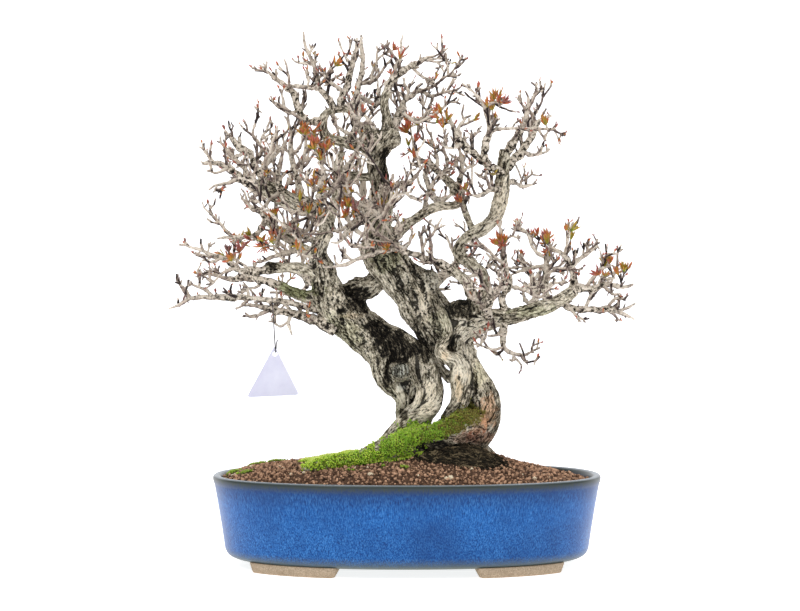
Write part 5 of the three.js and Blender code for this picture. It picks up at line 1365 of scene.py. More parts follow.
@dataclass
class Pot:
    """The fired pot: a glazed oval with a rolled rim, and four bare clay feet."""

    foot_height: float = 7.0
    floor_top: float = 16.0
    foot_width: float = 11.0
    foot_sunk: float = 1.5
    foot_inset: float = 14.0
    foot_slope: float = 0.8
    foot_turns: tuple = (0.545, 1.222)
    foot_bevel: float = 0.035
    foot_corner: float = 0.22
    foot_grid: tuple = (32, 24)
    oval_power: float = 2.25
    segments: int = 240
    steps_each: int = 3
    wall: tuple = ((24, 7), (20, 7.3), (16, 8.4), (13.2, 10), (11.6, 11.8), (10.5, 14), (9.8, 17), (7.9, 30),
                   (5.8, 43), (3.6, 56), (1.5, 67.5), (1.0, 69.3), (0.5, 70.6), (0.15, 72), (0, 73.4),
                   (0.15, 74.5), (0.6, 75.3), (1.4, 75.8), (2.5, 76), (3.9, 75.95), (5.2, 75.6), (6.3, 74.9),
                   (7.1, 73.8), (7.7, 72), (9, 66), (12.6, 46), (17, 23), (19, 18), (23, 16))

    @property
    def half_length(self) -> float:
        """Half the rim's length."""
        return (POT_HIGH[0] - POT_LOW[0]) / 2

    @property
    def narrower(self) -> float:
        """How much less the half depth is than the half length."""
        return self.half_length - (POT_HIGH[1] - POT_LOW[1]) / 2

    def oval(self, turn: Array, half_length: Array, half_depth: Array) -> tuple[Array, Array]:
        """A superellipse: half sizes times the cosine and sine, each raised to the power 2 / oval_power."""
        x, y = (squared_off(wave(turn), 2 / self.oval_power) for wave in (np.cos, np.sin))
        return x * half_length + POT_MIDDLE_X, y * half_depth

    def build(self) -> None:
        """Makes the pot: the wall's section carried round the oval from underside over rim to floor.

        The section is [inward from the rim, height]. Soil hides where the floor's drain holes are.
        """
        section = smooth_path(np.array(self.wall), self.steps_each * (len(self.wall) - 1))
        turn = np.arange(self.segments) * 2 * np.pi / self.segments
        reach = self.half_length - section[:, 0]
        x, y = self.oval(turn, reach[:, None], reach[:, None] - self.narrower)
        ring = np.stack([x, y, np.broadcast_to(section[:, 1:], x.shape)], axis=-1)
        poles = np.array([[POT_MIDDLE_X, 0, self.foot_height], [POT_MIDDLE_X, 0, self.floor_top]])
        shape = Shape()
        shape.add(*closed_rings(ring[None], poles[None]))
        self.feet(shape)
        shape.piece("glazed_pot", [GlazeFinish(), ClayFinish()], ("pot",))

    def feet(self, shape: Shape) -> None:
        """Four bars that follow the oval: a rounded rectangular section carried along each.

        Args:
            shape: the pot's shape, which the feet are added to.
        """
        steps, count = self.foot_grid
        reach = self.half_length - self.foot_inset
        angle = np.arange(count) * 2 * np.pi / count
        wide = squared_off(np.cos(angle), self.foot_corner)
        high = squared_off(np.sin(angle), self.foot_corner)
        share = np.linspace(0, 1, steps)[:, None]
        ends = np.minimum(1, np.minimum(share, 1 - share) * steps / 3 + 0.86)
        low = (1 - high) / 2
        bevel = self.foot_bevel * low
        first, last = self.foot_turns
        turn = first + bevel + (last - first - 2 * bevel) * share
        half = (self.foot_width / 2 - self.foot_slope * low) * ends
        inset = self.foot_width / 2 - wide * half
        x, y = self.oval(turn, reach - inset, reach - self.narrower - inset)
        z = np.broadcast_to((self.foot_height + self.foot_sunk) * (high + 1) / 2, x.shape)
        for sign_x in (-1, 1):
            for sign_y in (-1, 1):
                ring = np.stack([POT_MIDDLE_X + sign_x * (x - POT_MIDDLE_X), sign_y * y, z], axis=-1)
                poles = np.stack([ring[0].mean(axis=0), ring[-1].mean(axis=0)])
                shape.add(*closed_rings(ring[None], poles[None], sign_x * sign_y > 0), slot=1)


def from_middle(x: Array, y: Array, middle: tuple, half: tuple) -> Array:
    """How far places are from an ellipse's middle, 1 on the ellipse."""
    return np.hypot((x - middle[0]) / half[0], (y - middle[1]) / half[1])


@dataclass
class Soil:
    """The mounded soil and the loose grains on it."""

    pot: Pot
    edge_inset: float = 8.5
    edge_height: float = 73.5
    crown: float = 9.3
    mound_height: float = 17.5
    mound: tuple = (26.0, 2.0)
    mound_spread: tuple = (60.0, 46.0)
    right_spread: float = 40.0
    bulge_height: float = 8.0
    bulge: tuple = (36.0, -27.0)
    bulge_spread: tuple = (30.0, 13.0)
    mat: tuple = (43.0, -44.0)
    mat_half: tuple = (38.0, 25.0)
    fibres: int = 1000
    fibre_length: tuple = (6.0, 17.0)
    fibre_radius: tuple = (0.36, 0.75)
    grain_pitch: float = 2.8
    grain_radius: tuple = (0.7, 1.75)
    stony: float = 0.991
    right_drop: float = 3.4
    bed_rings: tuple = (180, 70)
    bottom_inset: float = 22.0
    shadow: tuple = (46.0, -14.0)
    shadow_half: tuple = (40.0, 42.0)

    def height(self, x: Array, y: Array) -> Array:
        """The soil's height: an edge, a crown that falls off near the wall, and two bells.

        The crown falls off over a wider band on the right, the mound is narrower there, and the edge lower.

        Args:
            x: places along the pot in mm.
            y: places across it in mm.

        Returns:
            Heights in mm.
        """
        reach = self.pot.half_length - self.edge_inset
        x = x - POT_MIDDLE_X
        away = np.minimum(1, np.hypot(x / reach, y / (reach - self.pot.narrower)))
        spread = np.where(x > self.mound[0], self.right_spread, self.mound_spread[0])
        far = from_middle(x, y, self.mound, (spread, self.mound_spread[1]))
        near = from_middle(x, y, self.bulge, self.bulge_spread)
        bells = self.mound_height * np.exp(-0.5 * far**2) + self.bulge_height * np.exp(-0.5 * near**2)
        edge = self.edge_height - self.right_drop * np.clip((x - 80) / 70, 0, 1)
        return edge + self.crown * (1 - away ** (8 - 4 * np.clip(x / 60, 0, 1))) + bells

    def matted(self, x: Array, y: Array) -> Array:
        """How thick the mat of fine roots in front of the trunk is, 1 in its middle."""
        away = from_middle(x - POT_MIDDLE_X, y, self.mat, self.mat_half)
        return np.clip((1.15 - away) / 0.4, 0, 1)

    def shaded(self, x: Array, y: Array) -> Array:
        """How deep the painted shade on the grains round the mat of fine roots is: 1 in it, 0 far from it.
        """
        away = from_middle(x - POT_MIDDLE_X, y, self.shadow, self.shadow_half)
        return np.clip(1.4 - away, 0, 1)

    def bed(self, moss: "Moss") -> None:
        """The soil's body: rings of the oval from the middle to the wall and down to the floor.

        Args:
            moss: says where the soil is green.
        """
        segments, rings = self.bed_rings
        ripple = Ripple(Seed.SOIL.draw())
        turn = np.arange(segments) * 2 * np.pi / segments
        reach = self.pot.half_length - self.edge_inset
        share = np.linspace(1 / rings, 1, rings)[:, None]
        x, y = self.pot.oval(turn, share * reach, share * (reach - self.pot.narrower))
        flat = np.stack([x.ravel(), y.ravel(), np.zeros(x.size)], axis=1)
        rough = (ripple.layered(flat / 5.0, 3) - 0.5) * 3.2 + 1.6 * moss.on_soil(flat[:, 0], flat[:, 1])
        top = np.stack([x, y, self.height(x, y) + rough.reshape(x.shape)], axis=-1)
        low_reach = self.pot.half_length - self.bottom_inset
        low_x, low_y = self.pot.oval(turn, low_reach, low_reach - self.pot.narrower)
        bottom = self.pot.floor_top + 1.0
        floor = np.stack([low_x, low_y, np.full(segments, bottom)], axis=-1)[None]
        middle = np.array(POT_MIDDLE_X)
        poles = np.array([[middle, 0, float(self.height(middle, np.array(0.0)))], [middle, 0, bottom]])
        points, quads, caps = closed_rings(np.concatenate([top, floor])[None], poles[None], turned=True)
        shape = Shape()
        shape.add(points, quads, caps, moss=moss.on_soil(points[:, 0], points[:, 1]),
                  mat=self.matted(points[:, 0], points[:, 1]))
        shape.piece("soil_bed", [SoilFinish()], ("soil",))

    def mats(self) -> None:
        """Fine roots felted over the soil: short thin fibres that curl and lie along it."""
        draw = Seed.MAT.draw()
        count, rings = self.fibres, 6
        reach = np.sqrt(draw.random(count)) * draw.uniform(0.7, 1.12, count)
        turn = draw.uniform(0, 2 * np.pi, count)
        x = POT_MIDDLE_X + self.mat[0] + self.mat_half[0] * reach * np.cos(turn)
        y = self.mat[1] + self.mat_half[1] * reach * np.sin(turn)
        share = np.linspace(-0.5, 0.5, rings)[None]
        course = draw.uniform(0, 2 * np.pi, (count, 1)) + draw.normal(0, 1.5, (count, 1)) * share
        length = draw.uniform(*self.fibre_length, (count, 1))
        x = x[:, None] + length * share * np.cos(course)
        y = y[:, None] + 0.7 * length * share * np.sin(course)
        lift = draw.uniform(0.1, 1.9, (count, 1)) * (1 - 2.4 * share**2)
        lift = lift + 0.3 * draw.normal(size=(count, rings))
        radii = draw.uniform(*self.fibre_radius, (count, 1)) * (1 - 0.5 * np.abs(share))
        places = np.stack([x, y, self.height(x, y) + lift], axis=-1)
        points, quads, triangles = swept(places, np.broadcast_to(radii, places.shape[:2]), 3)
        shade = np.repeat(draw.random(count) ** 1.6, len(points) // count)
        shape = Shape()
        shape.add(points, quads, triangles, shade=shade)
        shape.piece("root_mat", [FibreFinish()])

    def grains(self, moss: "Moss", wood: "Wood") -> None:
        """Loose grains: small crooked solids of 20 faces, one near each point of a shaken grid.

        Args:
            moss: says where no grains lie.
            wood: says where the trunk stands.
        """
        draw = Seed.GRAINS.draw()
        reach = self.pot.half_length - self.edge_inset
        deep = reach - self.pot.narrower
        pitch = self.grain_pitch
        x, y = np.meshgrid(np.arange(-reach, reach, pitch), np.arange(-deep, deep, pitch))
        x = x.ravel() + draw.uniform(-0.5, 0.5, x.size) * pitch
        y = y.ravel() + draw.uniform(-0.5, 0.5, y.size) * pitch
        power = self.pot.oval_power
        inside = np.abs(x / reach) ** power + np.abs(y / deep) ** power < 1.0
        x, y = x[inside] + POT_MIDDLE_X, y[inside]
        covered = np.maximum(moss.on_soil(x, y), self.matted(x, y))
        bare = covered < draw.uniform(0.2, 0.9, len(x))
        x, y = x[bare], y[bare]
        z = self.height(x, y)
        open_air = wood.clearance(np.stack([x, y, z], axis=1)) > -2.0
        x, y, z = x[open_air], y[open_air], z[open_air]
        radius = draw.uniform(0, 1, len(x)) ** 1.6 * (self.grain_radius[1] - self.grain_radius[0])
        # Grains round the trunk's foot are darkened as painted shade
        shade = draw.uniform(0, 1, len(x)) * (1 - 0.6 * self.shaded(x, y))
        radius = (radius + self.grain_radius[0]) * np.where(shade > self.stony, 1.5, 1.0)
        corners, faces = icosahedron()
        stretch = draw.uniform(0.7, 1.25, (len(x), 1, 3))
        dents = draw.uniform(0.78, 1.12, (len(x), 12, 1))
        turned = corners[None] @ random_turns(len(x), draw)
        points = turned * dents * stretch * radius[:, None, None]
        rise = radius * draw.uniform(-0.2, 0.6, len(x))
        points += np.stack([x, y, z + rise], axis=1)[:, None]
        shape = Shape()
        shape.add_copies(points, faces, shade=shade[:, None])
        shape.piece("soil_grains", [GrainFinish()], smooth=False)

    def build(self, moss: "Moss", wood: "Wood") -> None:
        """Makes the bed, the mat of fine roots and the grains.

        Args:
            moss: says where the soil is green.
            wood: says where the trunk stands.
        """
        self.bed(moss)
        self.mats()
        self.grains(moss, wood)


def icosahedron() -> tuple[Array, Array]:
    """A regular icosahedron: three crossed golden rectangles.

    Returns:
        The 12 corners, 1 from the middle, and the 20 faces.
    """
    golden = (1 + math.sqrt(5)) / 2
    plane = np.array([[-1, golden], [1, golden], [-1, -golden], [1, -golden]])
    corners = np.zeros((3, 4, 3))
    for axis in range(3):
        corners[axis][:, [axis, (axis + 1) % 3]] = plane
    faces = [[0, 11, 5], [0, 5, 1], [0, 1, 7], [0, 7, 10], [0, 10, 11], [1, 5, 9], [5, 11, 4], [11, 10, 2],
             [10, 7, 6], [7, 1, 8], [3, 9, 4], [3, 4, 2], [3, 2, 6], [3, 6, 8], [3, 8, 9], [4, 9, 5],
             [2, 4, 11], [6, 2, 10], [8, 6, 7], [9, 8, 1]]
    return unit(corners.reshape(12, 3)), np.array(faces)


def random_turns(count: int, draw: np.random.Generator) -> Array:
    """Random rotations, from unit quaternions.

    Args:
        count: how many.
        draw: for the quaternions.

    Returns:
        (count, 3, 3) matrices.
    """
    w, x, y, z = unit(draw.normal(size=(count, 4))).T
    rows = [[1 - 2 * (y * y + z * z), 2 * (x * y - z * w), 2 * (x * z + y * w)],
            [2 * (x * y + z * w), 1 - 2 * (x * x + z * z), 2 * (y * z - x * w)],
            [2 * (x * z - y * w), 2 * (y * z + x * w), 1 - 2 * (x * x + y * y)]]
    return np.moveaxis(np.array(rows), 2, 0)


class StainAndShade(Enum):
    """How a patch's bark differs, for stains and for painted shade: the shift of its tone, and the colour
    that multiplies it.
    """

    # Mostly painted shade in the gaps, hollows and outlines between strands, with some darker bark higher up
    SHADE_AND_DARK_BARK = (-0.1, (0.5, 0.49, 0.47))
    PALE = (0.07, (1.05, 1.02, 0.98))
    LICHEN = (-0.01, (0.54, 0.65, 0.38))
    RUSSET = (0.03, (0.94, 0.64, 0.47))
    UMBER = (-0.015, (0.8, 0.6, 0.56))
    BLUISH = (0.03, (0.76, 0.84, 0.92))
    TAN = (0.02, (1.0, 0.78, 0.5))


# Stained patches of the front view, and patches of painted shade: [column, row, half width, half height,
# strength]
STAINS_AND_SHADE: dict = {
    StainAndShade.PALE: [[425, 402, 12, 24, 1.0], [405, 424, 14, 9, 0.7], [479, 376, 13, 18, 1.1],
        [388, 440, 10, 8, 0.5], [446, 350, 7, 12, 0.9], [457, 384, 8, 24, 0.8], [401, 389, 5, 5, 1.0],
        [430, 283, 7, 9, 0.3], [327, 237, 6, 5, 0.8], [501, 200, 9, 28, 0.8], [335, 300, 9, 14, 0.35],
        [424, 304, 8, 26, 0.8], [352, 332, 7, 14, 0.4], [430, 210, 22, 7, 0.4]],
    StainAndShade.LICHEN: [[298, 288, 22, 10, 0.85], [340, 332, 24, 20, 0.3], [480, 376, 10, 14, 0.25],
        [388, 260, 18, 14, 0.45], [535, 311, 26, 7, 0.4], [440, 322, 12, 16, 0.25],
        [378, 222, 10, 16, 0.3]],
    StainAndShade.TAN: [[459, 388, 4, 14, 0.4], [444, 356, 4, 5, 0.3], [352, 316, 14, 5, 0.3]],
    StainAndShade.RUSSET: [[489, 410, 11, 22, 0.8], [478, 424, 12, 12, 0.6]],
    StainAndShade.UMBER: [[482, 437, 16, 9, 1.0], [464, 438, 14, 6, 0.8]],
    StainAndShade.BLUISH: [[400, 371, 10, 11, 1.0], [430, 281, 9, 10, 0.3], [402, 388, 5, 5, 0.8]],
    # Painted shade in gaps, hollows and outlines between strands, and some darker bark on the upper trunk
    StainAndShade.SHADE_AND_DARK_BARK: [[396, 346, 23, 15, 1.0], [376, 328, 14, 10, 1.0], [358, 306, 13, 9, 1.0],
        [404, 414, 5, 6, 1.0], [387, 378, 2.5, 12, 0.8], [425, 352, 6, 14, 0.8], [341, 310, 5, 3, 0.9],
        [452, 343, 4.5, 11, 1.0], [434, 300, 5, 20, 0.4], [476, 385, 2.5, 12, 1.0],
        [444, 399, 3.4, 14, 1.0], [462, 309, 16, 10, 0.9], [358, 294, 12, 6, 1.0], [343, 290, 8, 6, 0.6],
        [482, 444, 12, 4, 0.5], [419, 343, 4, 8, 0.9], [372, 205, 6, 14, 0.8], [386, 166, 6, 20, 0.7],
        [504, 147, 5, 6, 0.9], [270, 268, 9, 8, 0.6], [400, 361, 10, 4, 0.8], [431, 268, 8, 4, 0.6],
        [446, 281, 4, 5, 0.6], [400, 440, 6, 14, 0.6], [438, 425, 7, 5, 0.9], [432, 446, 24, 5, 0.9],
        [380, 185, 14, 45, 0.15], [400, 371, 12, 12, 0.3]],
}


@dataclass
class Wood:
    """The old wood: strands, burls and surface roots fused under one bark, and the main limbs.

    The strands named left make the left trunk, and the merged ones are fused in although they are thin.
    """

    voxel: float = 1.08
    core_share: float = 0.84
    fibre_pitch: float = 7.5
    full_turn: float = 250.0
    ring_step: float = 3.0
    strand_shift: float = 61.0
    furrow: float = 1.9
    plate: float = 0.9
    lump: float = 1.3
    limb_radius: float = 5.6
    lowest_shoot: float = 205.0
    core_sides: int = 14
    fibre_sides: int = 9
    fibre_counts: tuple = (4, 9)
    limb_sides: int = 20
    burl_grid: tuple = (12, 20)
    burl_squat: float = 0.88
    burl_half: tuple = (1.08, 0.92)
    flaky_row: float = 335.0
    streaky_column: float = 378.0
    batch: int = 8000
    plate_scale: tuple = (0.13, 0.42, 0.42)
    furrow_scale: tuple = (0.035, 0.24, 0.24)
    crack_scale: tuple = (0.025, 0.5, 0.5)
    smooth: dict[str, float] = field(default_factory=lambda: {
        "pale_root": 0.35, "right_arc": 0.35, "serpent": 0.45, "moss_root": 0.5, "left_strand": 0.8})
    lines: dict[str, tuple[Array, Array]] = field(default_factory=dict)
    left: tuple = ("pale_root", "pale_ridge", "left_strand", "shadowed_strand", "left_back", "left_core",
                   "root_back_left", "root_left", "left_limb", "cross_limb", "pad_limb", "lichen_bough",
                   "burl_bough")
    merged: tuple = ("pale_ridge", "shade_tie")
    skins: list[tuple[Array, Array]] = field(default_factory=list)

    def __post_init__(self) -> None:
        """Works out the strands' lines, and samples on them that the bark's grain follows."""
        self.ripple = Ripple(Seed.BARK.draw())
        rows = []
        for number, (name, stations) in enumerate(STRANDS.items()):
            stations = np.array(stations, float)
            rough = VIEW.place(stations)
            steps = max(6, round(np.linalg.norm(np.diff(rough, axis=0), axis=1).sum() / self.ring_step))
            places = smooth_path(rough, steps)
            radii = linear_values(stations[:, 3], steps)
            self.lines[name] = (places, radii)
            arc = self.arc_of(places)
            _, side, other = (frames[0] for frames in carried_frames(places[None]))
            turn = arc[:, None] * 2 * np.pi / self.full_turn
            turned_side = np.cos(turn) * side + np.sin(turn) * other
            turned_other = np.cos(turn) * other - np.sin(turn) * side
            shifted = (arc + self.strand_shift * number)[:, None]
            calm = np.full((len(places), 1), self.smooth.get(name, 1.0))
            rows.append(np.hstack([places, radii[:, None], shifted, turned_side, turned_other, calm]))
        self.samples = np.vstack(rows)

    def arc_of(self, places: Array) -> Array:
        """Length along a path at each of its places."""
        return np.concatenate([[0.0], np.cumsum(np.linalg.norm(np.diff(places, axis=0), axis=1))])

    def is_limb(self, name: str) -> bool:
        """Whether a strand is thin enough to be a limb for itself."""
        return self.lines[name][1].max() < self.limb_radius and name not in self.merged

    def nearest(self, points: Array) -> tuple[Array, Array]:
        """Finds the strand at each point.

        Args:
            points: (n, 3) places.

        Returns:
            The index of the sample whose ball's surface is nearest, and the distance to that surface.
        """
        centres = self.samples[:, :3].astype(np.float32)
        radii = self.samples[:, 3].astype(np.float32)
        index = np.empty(len(points), int)
        gap = np.empty(len(points))
        for start in range(0, len(points), self.batch):
            part = slice(start, start + self.batch)
            some = points[part].astype(np.float32)
            square = (some**2).sum(1)[:, None] - 2 * some @ centres.T + (centres**2).sum(1)
            away = np.sqrt(np.maximum(square, 0)) - radii
            index[part], gap[part] = away.argmin(axis=1), away.min(axis=1)
        return index, gap

    def clearance(self, points: Array) -> Array:
        """How far points are from the wood's surface, less than nothing inside it."""
        return self.nearest(points)[1]

    def grain(self, points: Array) -> tuple[Array, Array]:
        """Places in the grain of the nearest strand.

        Args:
            points: (n, 3) places.

        Returns:
            (n, 3) distance along the strand and twisted offsets from its middle, and its roughness there.
        """
        sample = self.samples[self.nearest(points)[0]]
        offset = points - sample[:, :3]
        side, other = sample[:, 5:8], sample[:, 8:11]
        along = np.cross(side, other)
        parts = [np.sum(offset * axis, axis=1) for axis in (along, side, other)]
        stout = np.clip(sample[:, 3] / 9, 0.3, 1) * sample[:, 11]
        return np.stack([sample[:, 4] + parts[0], parts[1], parts[2]], axis=1), stout

    def scarred(self, points: Array, normals: Array) -> Array:
        """How far the scars move points that face the front: a rim out, and a bowl in.

        Args:
            points: (n, 3) places.
            normals: (n, 3) outward normals.

        Returns:
            (n,) distances in mm, outwards.
        """
        column, row = VIEW.seen(points)
        move = np.zeros(len(points))
        for middle, level, half_width, half_height, depth in SCARS:
            away = np.hypot((column - middle) / half_width, (row - level) / half_height)
            move += depth * (0.45 * np.exp(-(((away - 1.15) / 0.3) ** 2)) - np.exp(-((away / 0.75) ** 2)))
        return move * np.clip(-2 * normals[:, 1], 0, 1)

    def roughened(self, points: Array, normals: Array) -> tuple[Array, Array]:
        """Moves a surface: lumps everywhere, plates, furrows and narrow cracks along the grain, and scars.

        Args:
            points: (n, 3) places on the surface.
            normals: (n, 3) outward normals.

        Returns:
            The moved places and their grain coordinates.
        """
        grain, stout = self.grain(points)
        lumps = self.ripple.layered(points * 0.085, 3) - 0.5
        plates = self.ripple.layered(grain * self.plate_scale, 3) - 0.5
        lines = self.ripple.layered(grain * self.furrow_scale + 11.0, 2) - 0.5
        furrows = np.exp(-((lines / 0.045) ** 2))
        fine = self.ripple.layered(grain * self.crack_scale + 23.0, 1) - 0.5
        cracks = np.exp(-((fine / 0.07) ** 2))
        chips = self.ripple.layered(points * 0.42 + 5.0, 2) - 0.5
        move = 2 * self.lump * lumps + 2 * self.plate * plates
        move = move - self.furrow * furrows - 0.5 * self.furrow * cracks
        move = (move + 1.5 * self.plate * chips) * stout + self.scarred(points, normals)
        return points + normals * move[:, None], grain

    def strand(self, shape: Shape, places: Array, radii: Array, calm: float,
               draw: np.random.Generator) -> None:
        """Adds a strand: a core, and fibres that lie against it and wind slowly round it.

        Args:
            shape: what it is added to.
            places: (n, 3) the strand's line.
            radii: (n,) its radius.
            calm: below 1, how smooth it is.
            draw: for the fibres' swelling.
        """
        core = 1 - (1 - self.core_share) * calm
        shape.add(*swept(places[None], core * radii[None], self.core_sides))
        count = int(np.clip(round(2 * np.pi * radii.mean() / self.fibre_pitch), *self.fibre_counts))
        wide = 1.15 * np.pi / count
        share = 1.05 * wide / (1 + wide)
        arc = self.arc_of(places)[None]
        _, side, other = carried_frames(places[None])
        phase, swell, sway = draw.uniform(0, 2 * np.pi, (3, count, 1))
        wave = draw.uniform(30, 60, (count, 1))
        angle = np.arange(count)[:, None] * 2 * np.pi / count + arc * 2 * np.pi / self.full_turn
        angle = angle + 0.22 * np.sin(arc / wave * 2 * np.pi + phase)
        reach = (1.05 - share) * radii * (1 + 0.06 * np.sin(arc / wave * 4 + sway))
        outward = np.cos(angle)[..., None] * side + np.sin(angle)[..., None] * other
        centres = places + reach[..., None] * outward
        widths = share * radii * (1 + 0.22 * np.sin(arc / wave * 2 * np.pi + swell))
        shape.add(*swept(centres, widths, self.fibre_sides))

    def burl(self, shape: Shape, knot: list) -> None:
        """Adds a burl: rings from pole to pole of a squat ball, upright.

        Args:
            shape: what it is added to.
            knot: its column, row, depth and radius.
        """
        rings, sides = self.burl_grid
        turn = np.linspace(0.18, np.pi - 0.18, rings)
        line = VIEW.place(knot) + np.outer(-np.cos(turn) * knot[3] * self.burl_squat, UP)
        wide, deep = ((half * knot[3] * np.sin(turn))[None] for half in self.burl_half)
        shape.add(*swept(line[None], wide, sides, through=deep))

    def fused(self, shape: Shape) -> tuple[Array, Array]:
        """One skin round many overlapping forms, by a voxel remesh.

        Args:
            shape: the overlapping closed forms.

        Returns:
            The skin's points in mm and its quads, without loose crumbs.
        """
        rough = shape.mesh("rough_wood")
        made = bpy.data.objects.new("rough_wood", rough)
        bpy.context.collection.objects.link(made)
        remesh = made.modifiers.new("skin", "REMESH")
        remesh.mode = "VOXEL"
        remesh.voxel_size = self.voxel * MM
        remesh.adaptivity = 0.0
        result = made.evaluated_get(bpy.context.evaluated_depsgraph_get()).to_mesh()
        points = np.empty(len(result.vertices) * 3, np.float32)
        result.vertices.foreach_get("co", points)
        corners = np.empty(len(result.loops), np.int32)
        result.loops.foreach_get("vertex_index", corners)
        points = points.reshape(-1, 3).astype(float) / MM
        quads = corners.reshape(-1, 4)
        bpy.data.objects.remove(made)
        bpy.data.meshes.remove(rough)
        return self.main_body(points, quads)

    def main_body(self, points: Array, quads: Array) -> tuple[Array, Array]:
        """The largest connected part of a mesh: labels spread to neighbours until none changes.

        Args:
            points: (n, 3) places.
            quads: (q, 4) corners.

        Returns:
            That part's points and quads.
        """
        label = np.arange(len(points))
        while True:
            least = label[quads].min(axis=1)
            fresh = label.copy()
            np.minimum.at(fresh, quads.ravel(), np.repeat(least, 4))
            fresh = fresh[fresh]
            if np.array_equal(fresh, label):
                break
            label = fresh
        kept = label == np.bincount(label).argmax()
        number = np.cumsum(kept) - 1
        return points[kept], number[quads[kept[quads[:, 0]]]]

    def values(self, points: Array, quads: Array, normals: Array, grain: Array) -> dict[str, Array]:
        """What the bark's finish reads.

        Args:
            points: (n, 3) the finished surface.
            quads: its faces.
            normals: its normals.
            grain: its grain coordinates.

        Returns:
            Hollows, from how far the relaxed surface lies outside it, the zones, the moss, and the grit: how
            far the bark breaks into flakes, more above one row of the front view and beside one column.
        """
        near = np.sum((relaxed(points, quads, 5) - points) * normals, axis=1) / 0.35
        wide = np.sum((relaxed(points, quads, 40) - points) * normals, axis=1) / 1.6
        tint, shift = self.stained_and_shaded(points)
        moss = Moss.on_wood(points, normals, self.ripple.layered(points * 0.2, 3) - 0.5)
        column, row = VIEW.seen(points)
        high_up = np.clip((self.flaky_row - row) / 70, 0, 1)
        beside = np.clip((np.abs(column - self.streaky_column) - 10) / 20, 0.2, 1)
        # hollow darkens cracks and, as painted shade, recesses; tint and tone carry stains and patches of
        # painted shade
        return {"hollow": np.clip(0.5 * near + 0.7 * wide, 0, 1), "grain": grain, "tint": tint,
                "tone": shift, "moss": moss, "grit": 0.38 + 0.4 * high_up * beside}

    def stained_and_shaded(self, points: Array) -> tuple[Array, Array]:
        """The colour that multiplies the bark and the shift of its tone, from ragged patches of stain and
        painted shade.

        Args:
            points: (n, 3) places.

        Returns:
            (n, 3) colours and (n,) shifts.
        """
        column, row = VIEW.seen(points)
        ragged = 1.7 * self.ripple.layered(points * 0.16, 3)
        ragged = ragged + 1.3 * self.ripple.layered(points * 0.5 + 3.0, 2) - 1.5
        tint = np.ones((len(points), 3))
        shift = 0.16 * self.ripple.layered(points * 0.075, 2) - 0.08
        for stain, patches in STAINS_AND_SHADE.items():
            moved, colour = stain.value
            for middle, level, half_width, half_height, strength in patches:
                away = np.hypot((column - middle) / half_width, (row - level) / half_height)
                share = strength * np.clip((1.05 - away + 0.7 * ragged) / 0.35, 0, 1)
                tint *= 1 + share[:, None] * (np.array(colour) - 1)
                shift += share * moved
        return np.clip(tint, 0.22, 1.1), np.clip(shift, -0.095, 0.09)

    def trunk(self, name: str, strands: list[str], draw: np.random.Generator) -> None:
        """One trunk's strands and burls, fused, roughened and dressed.

        Args:
            name: the trunk's name, also in the table of burls.
            strands: which strands it has.
            draw: for the fibres.
        """
        shape = Shape()
        for strand in strands:
            self.strand(shape, *self.lines[strand], self.smooth.get(strand, 1.0), draw)
        for knot in KNOTS[name]:
            self.burl(shape, knot)
        points, quads = self.fused(shape)
        points = relaxed(points, quads, 2)
        points, grain = self.roughened(points, point_normals(points, quads))
        normals = point_normals(points, quads)
        self.skins.append((points, normals))
        skin = Shape()
        skin.add(points, quads, NO_TRIANGLES, **self.values(points, quads, normals, grain))
        skin.piece(name, [BarkFinish()], ("trunk",))

    def trunks(self) -> None:
        """The left trunk, whose foot is the pale root, and the right one with everything above it."""
        draw = Seed.FIBRES.draw()
        thick = [name for name in self.lines if not self.is_limb(name)]
        self.trunk("left_trunk", [name for name in thick if name in self.left], draw)
        self.trunk("right_trunk", [name for name in thick if name not in self.left], draw)

    def limbs(self) -> None:
        """The thinner strands: rough tubes with close rings."""
        shape = Shape()
        for name, (places, radii) in self.lines.items():
            if not self.is_limb(name):
                continue
            steps = 3 * (len(places) - 1)
            places = smooth_path(places, steps)
            radii = linear_values(radii, steps)
            points, quads, triangles = swept(places[None], radii[None], self.limb_sides)
            normals = point_normals(points, quads)
            points, grain = self.roughened(points, normals)
            shape.add(points, quads, triangles, **self.values(points, quads, normals, grain))
        shape.piece("rough_limbs", [BarkFinish()], ("trunk",))

    def build(self) -> None:
        """Makes the trunks and the limbs."""
        self.trunks()
        self.limbs()


# The moss on the surface root lies between two lines of the front view, [column, row], from one column to
# another and in front of a depth in mm
MOSS_COLUMNS, MOSS_BACK = (296, 486), 22
MOSS_TOP = [[296, 462], [320, 457], [350, 451], [362, 454], [375, 448], [390, 437], [400, 428], [410, 424],
            [424, 427], [440, 424], [450, 418], [466, 405], [472, 400], [488, 412]]
MOSS_BOTTOM = [[296, 469], [330, 470], [370, 467], [395, 458], [405, 450], [414, 444], [430, 443],
               [442, 440], [456, 432], [470, 426], [480, 421], [488, 415]]

# The moss on the soil, in mm from the pot's middle: [[x, y], [half length, half depth], strength]
MOSS_PATCHES: list = [
    [[-50, -8], [46, 34], 1.3], [[-30, -34], [52, 28], 1.5], [[0, -44], [18, 12], 0.9],
    [[-144, -14], [9, 9], 0.7], [[-128, 32], [12, 9], 0.6], [[-112, 44], [14, 8], 0.5],
    [[-134, -36], [10, 4], 0.5], [[-43, -77], [9, 4], 0.5], [[-2, -78], [7, 4], 0.45],
    [[-20, -72], [5, 3], 0.4],
]


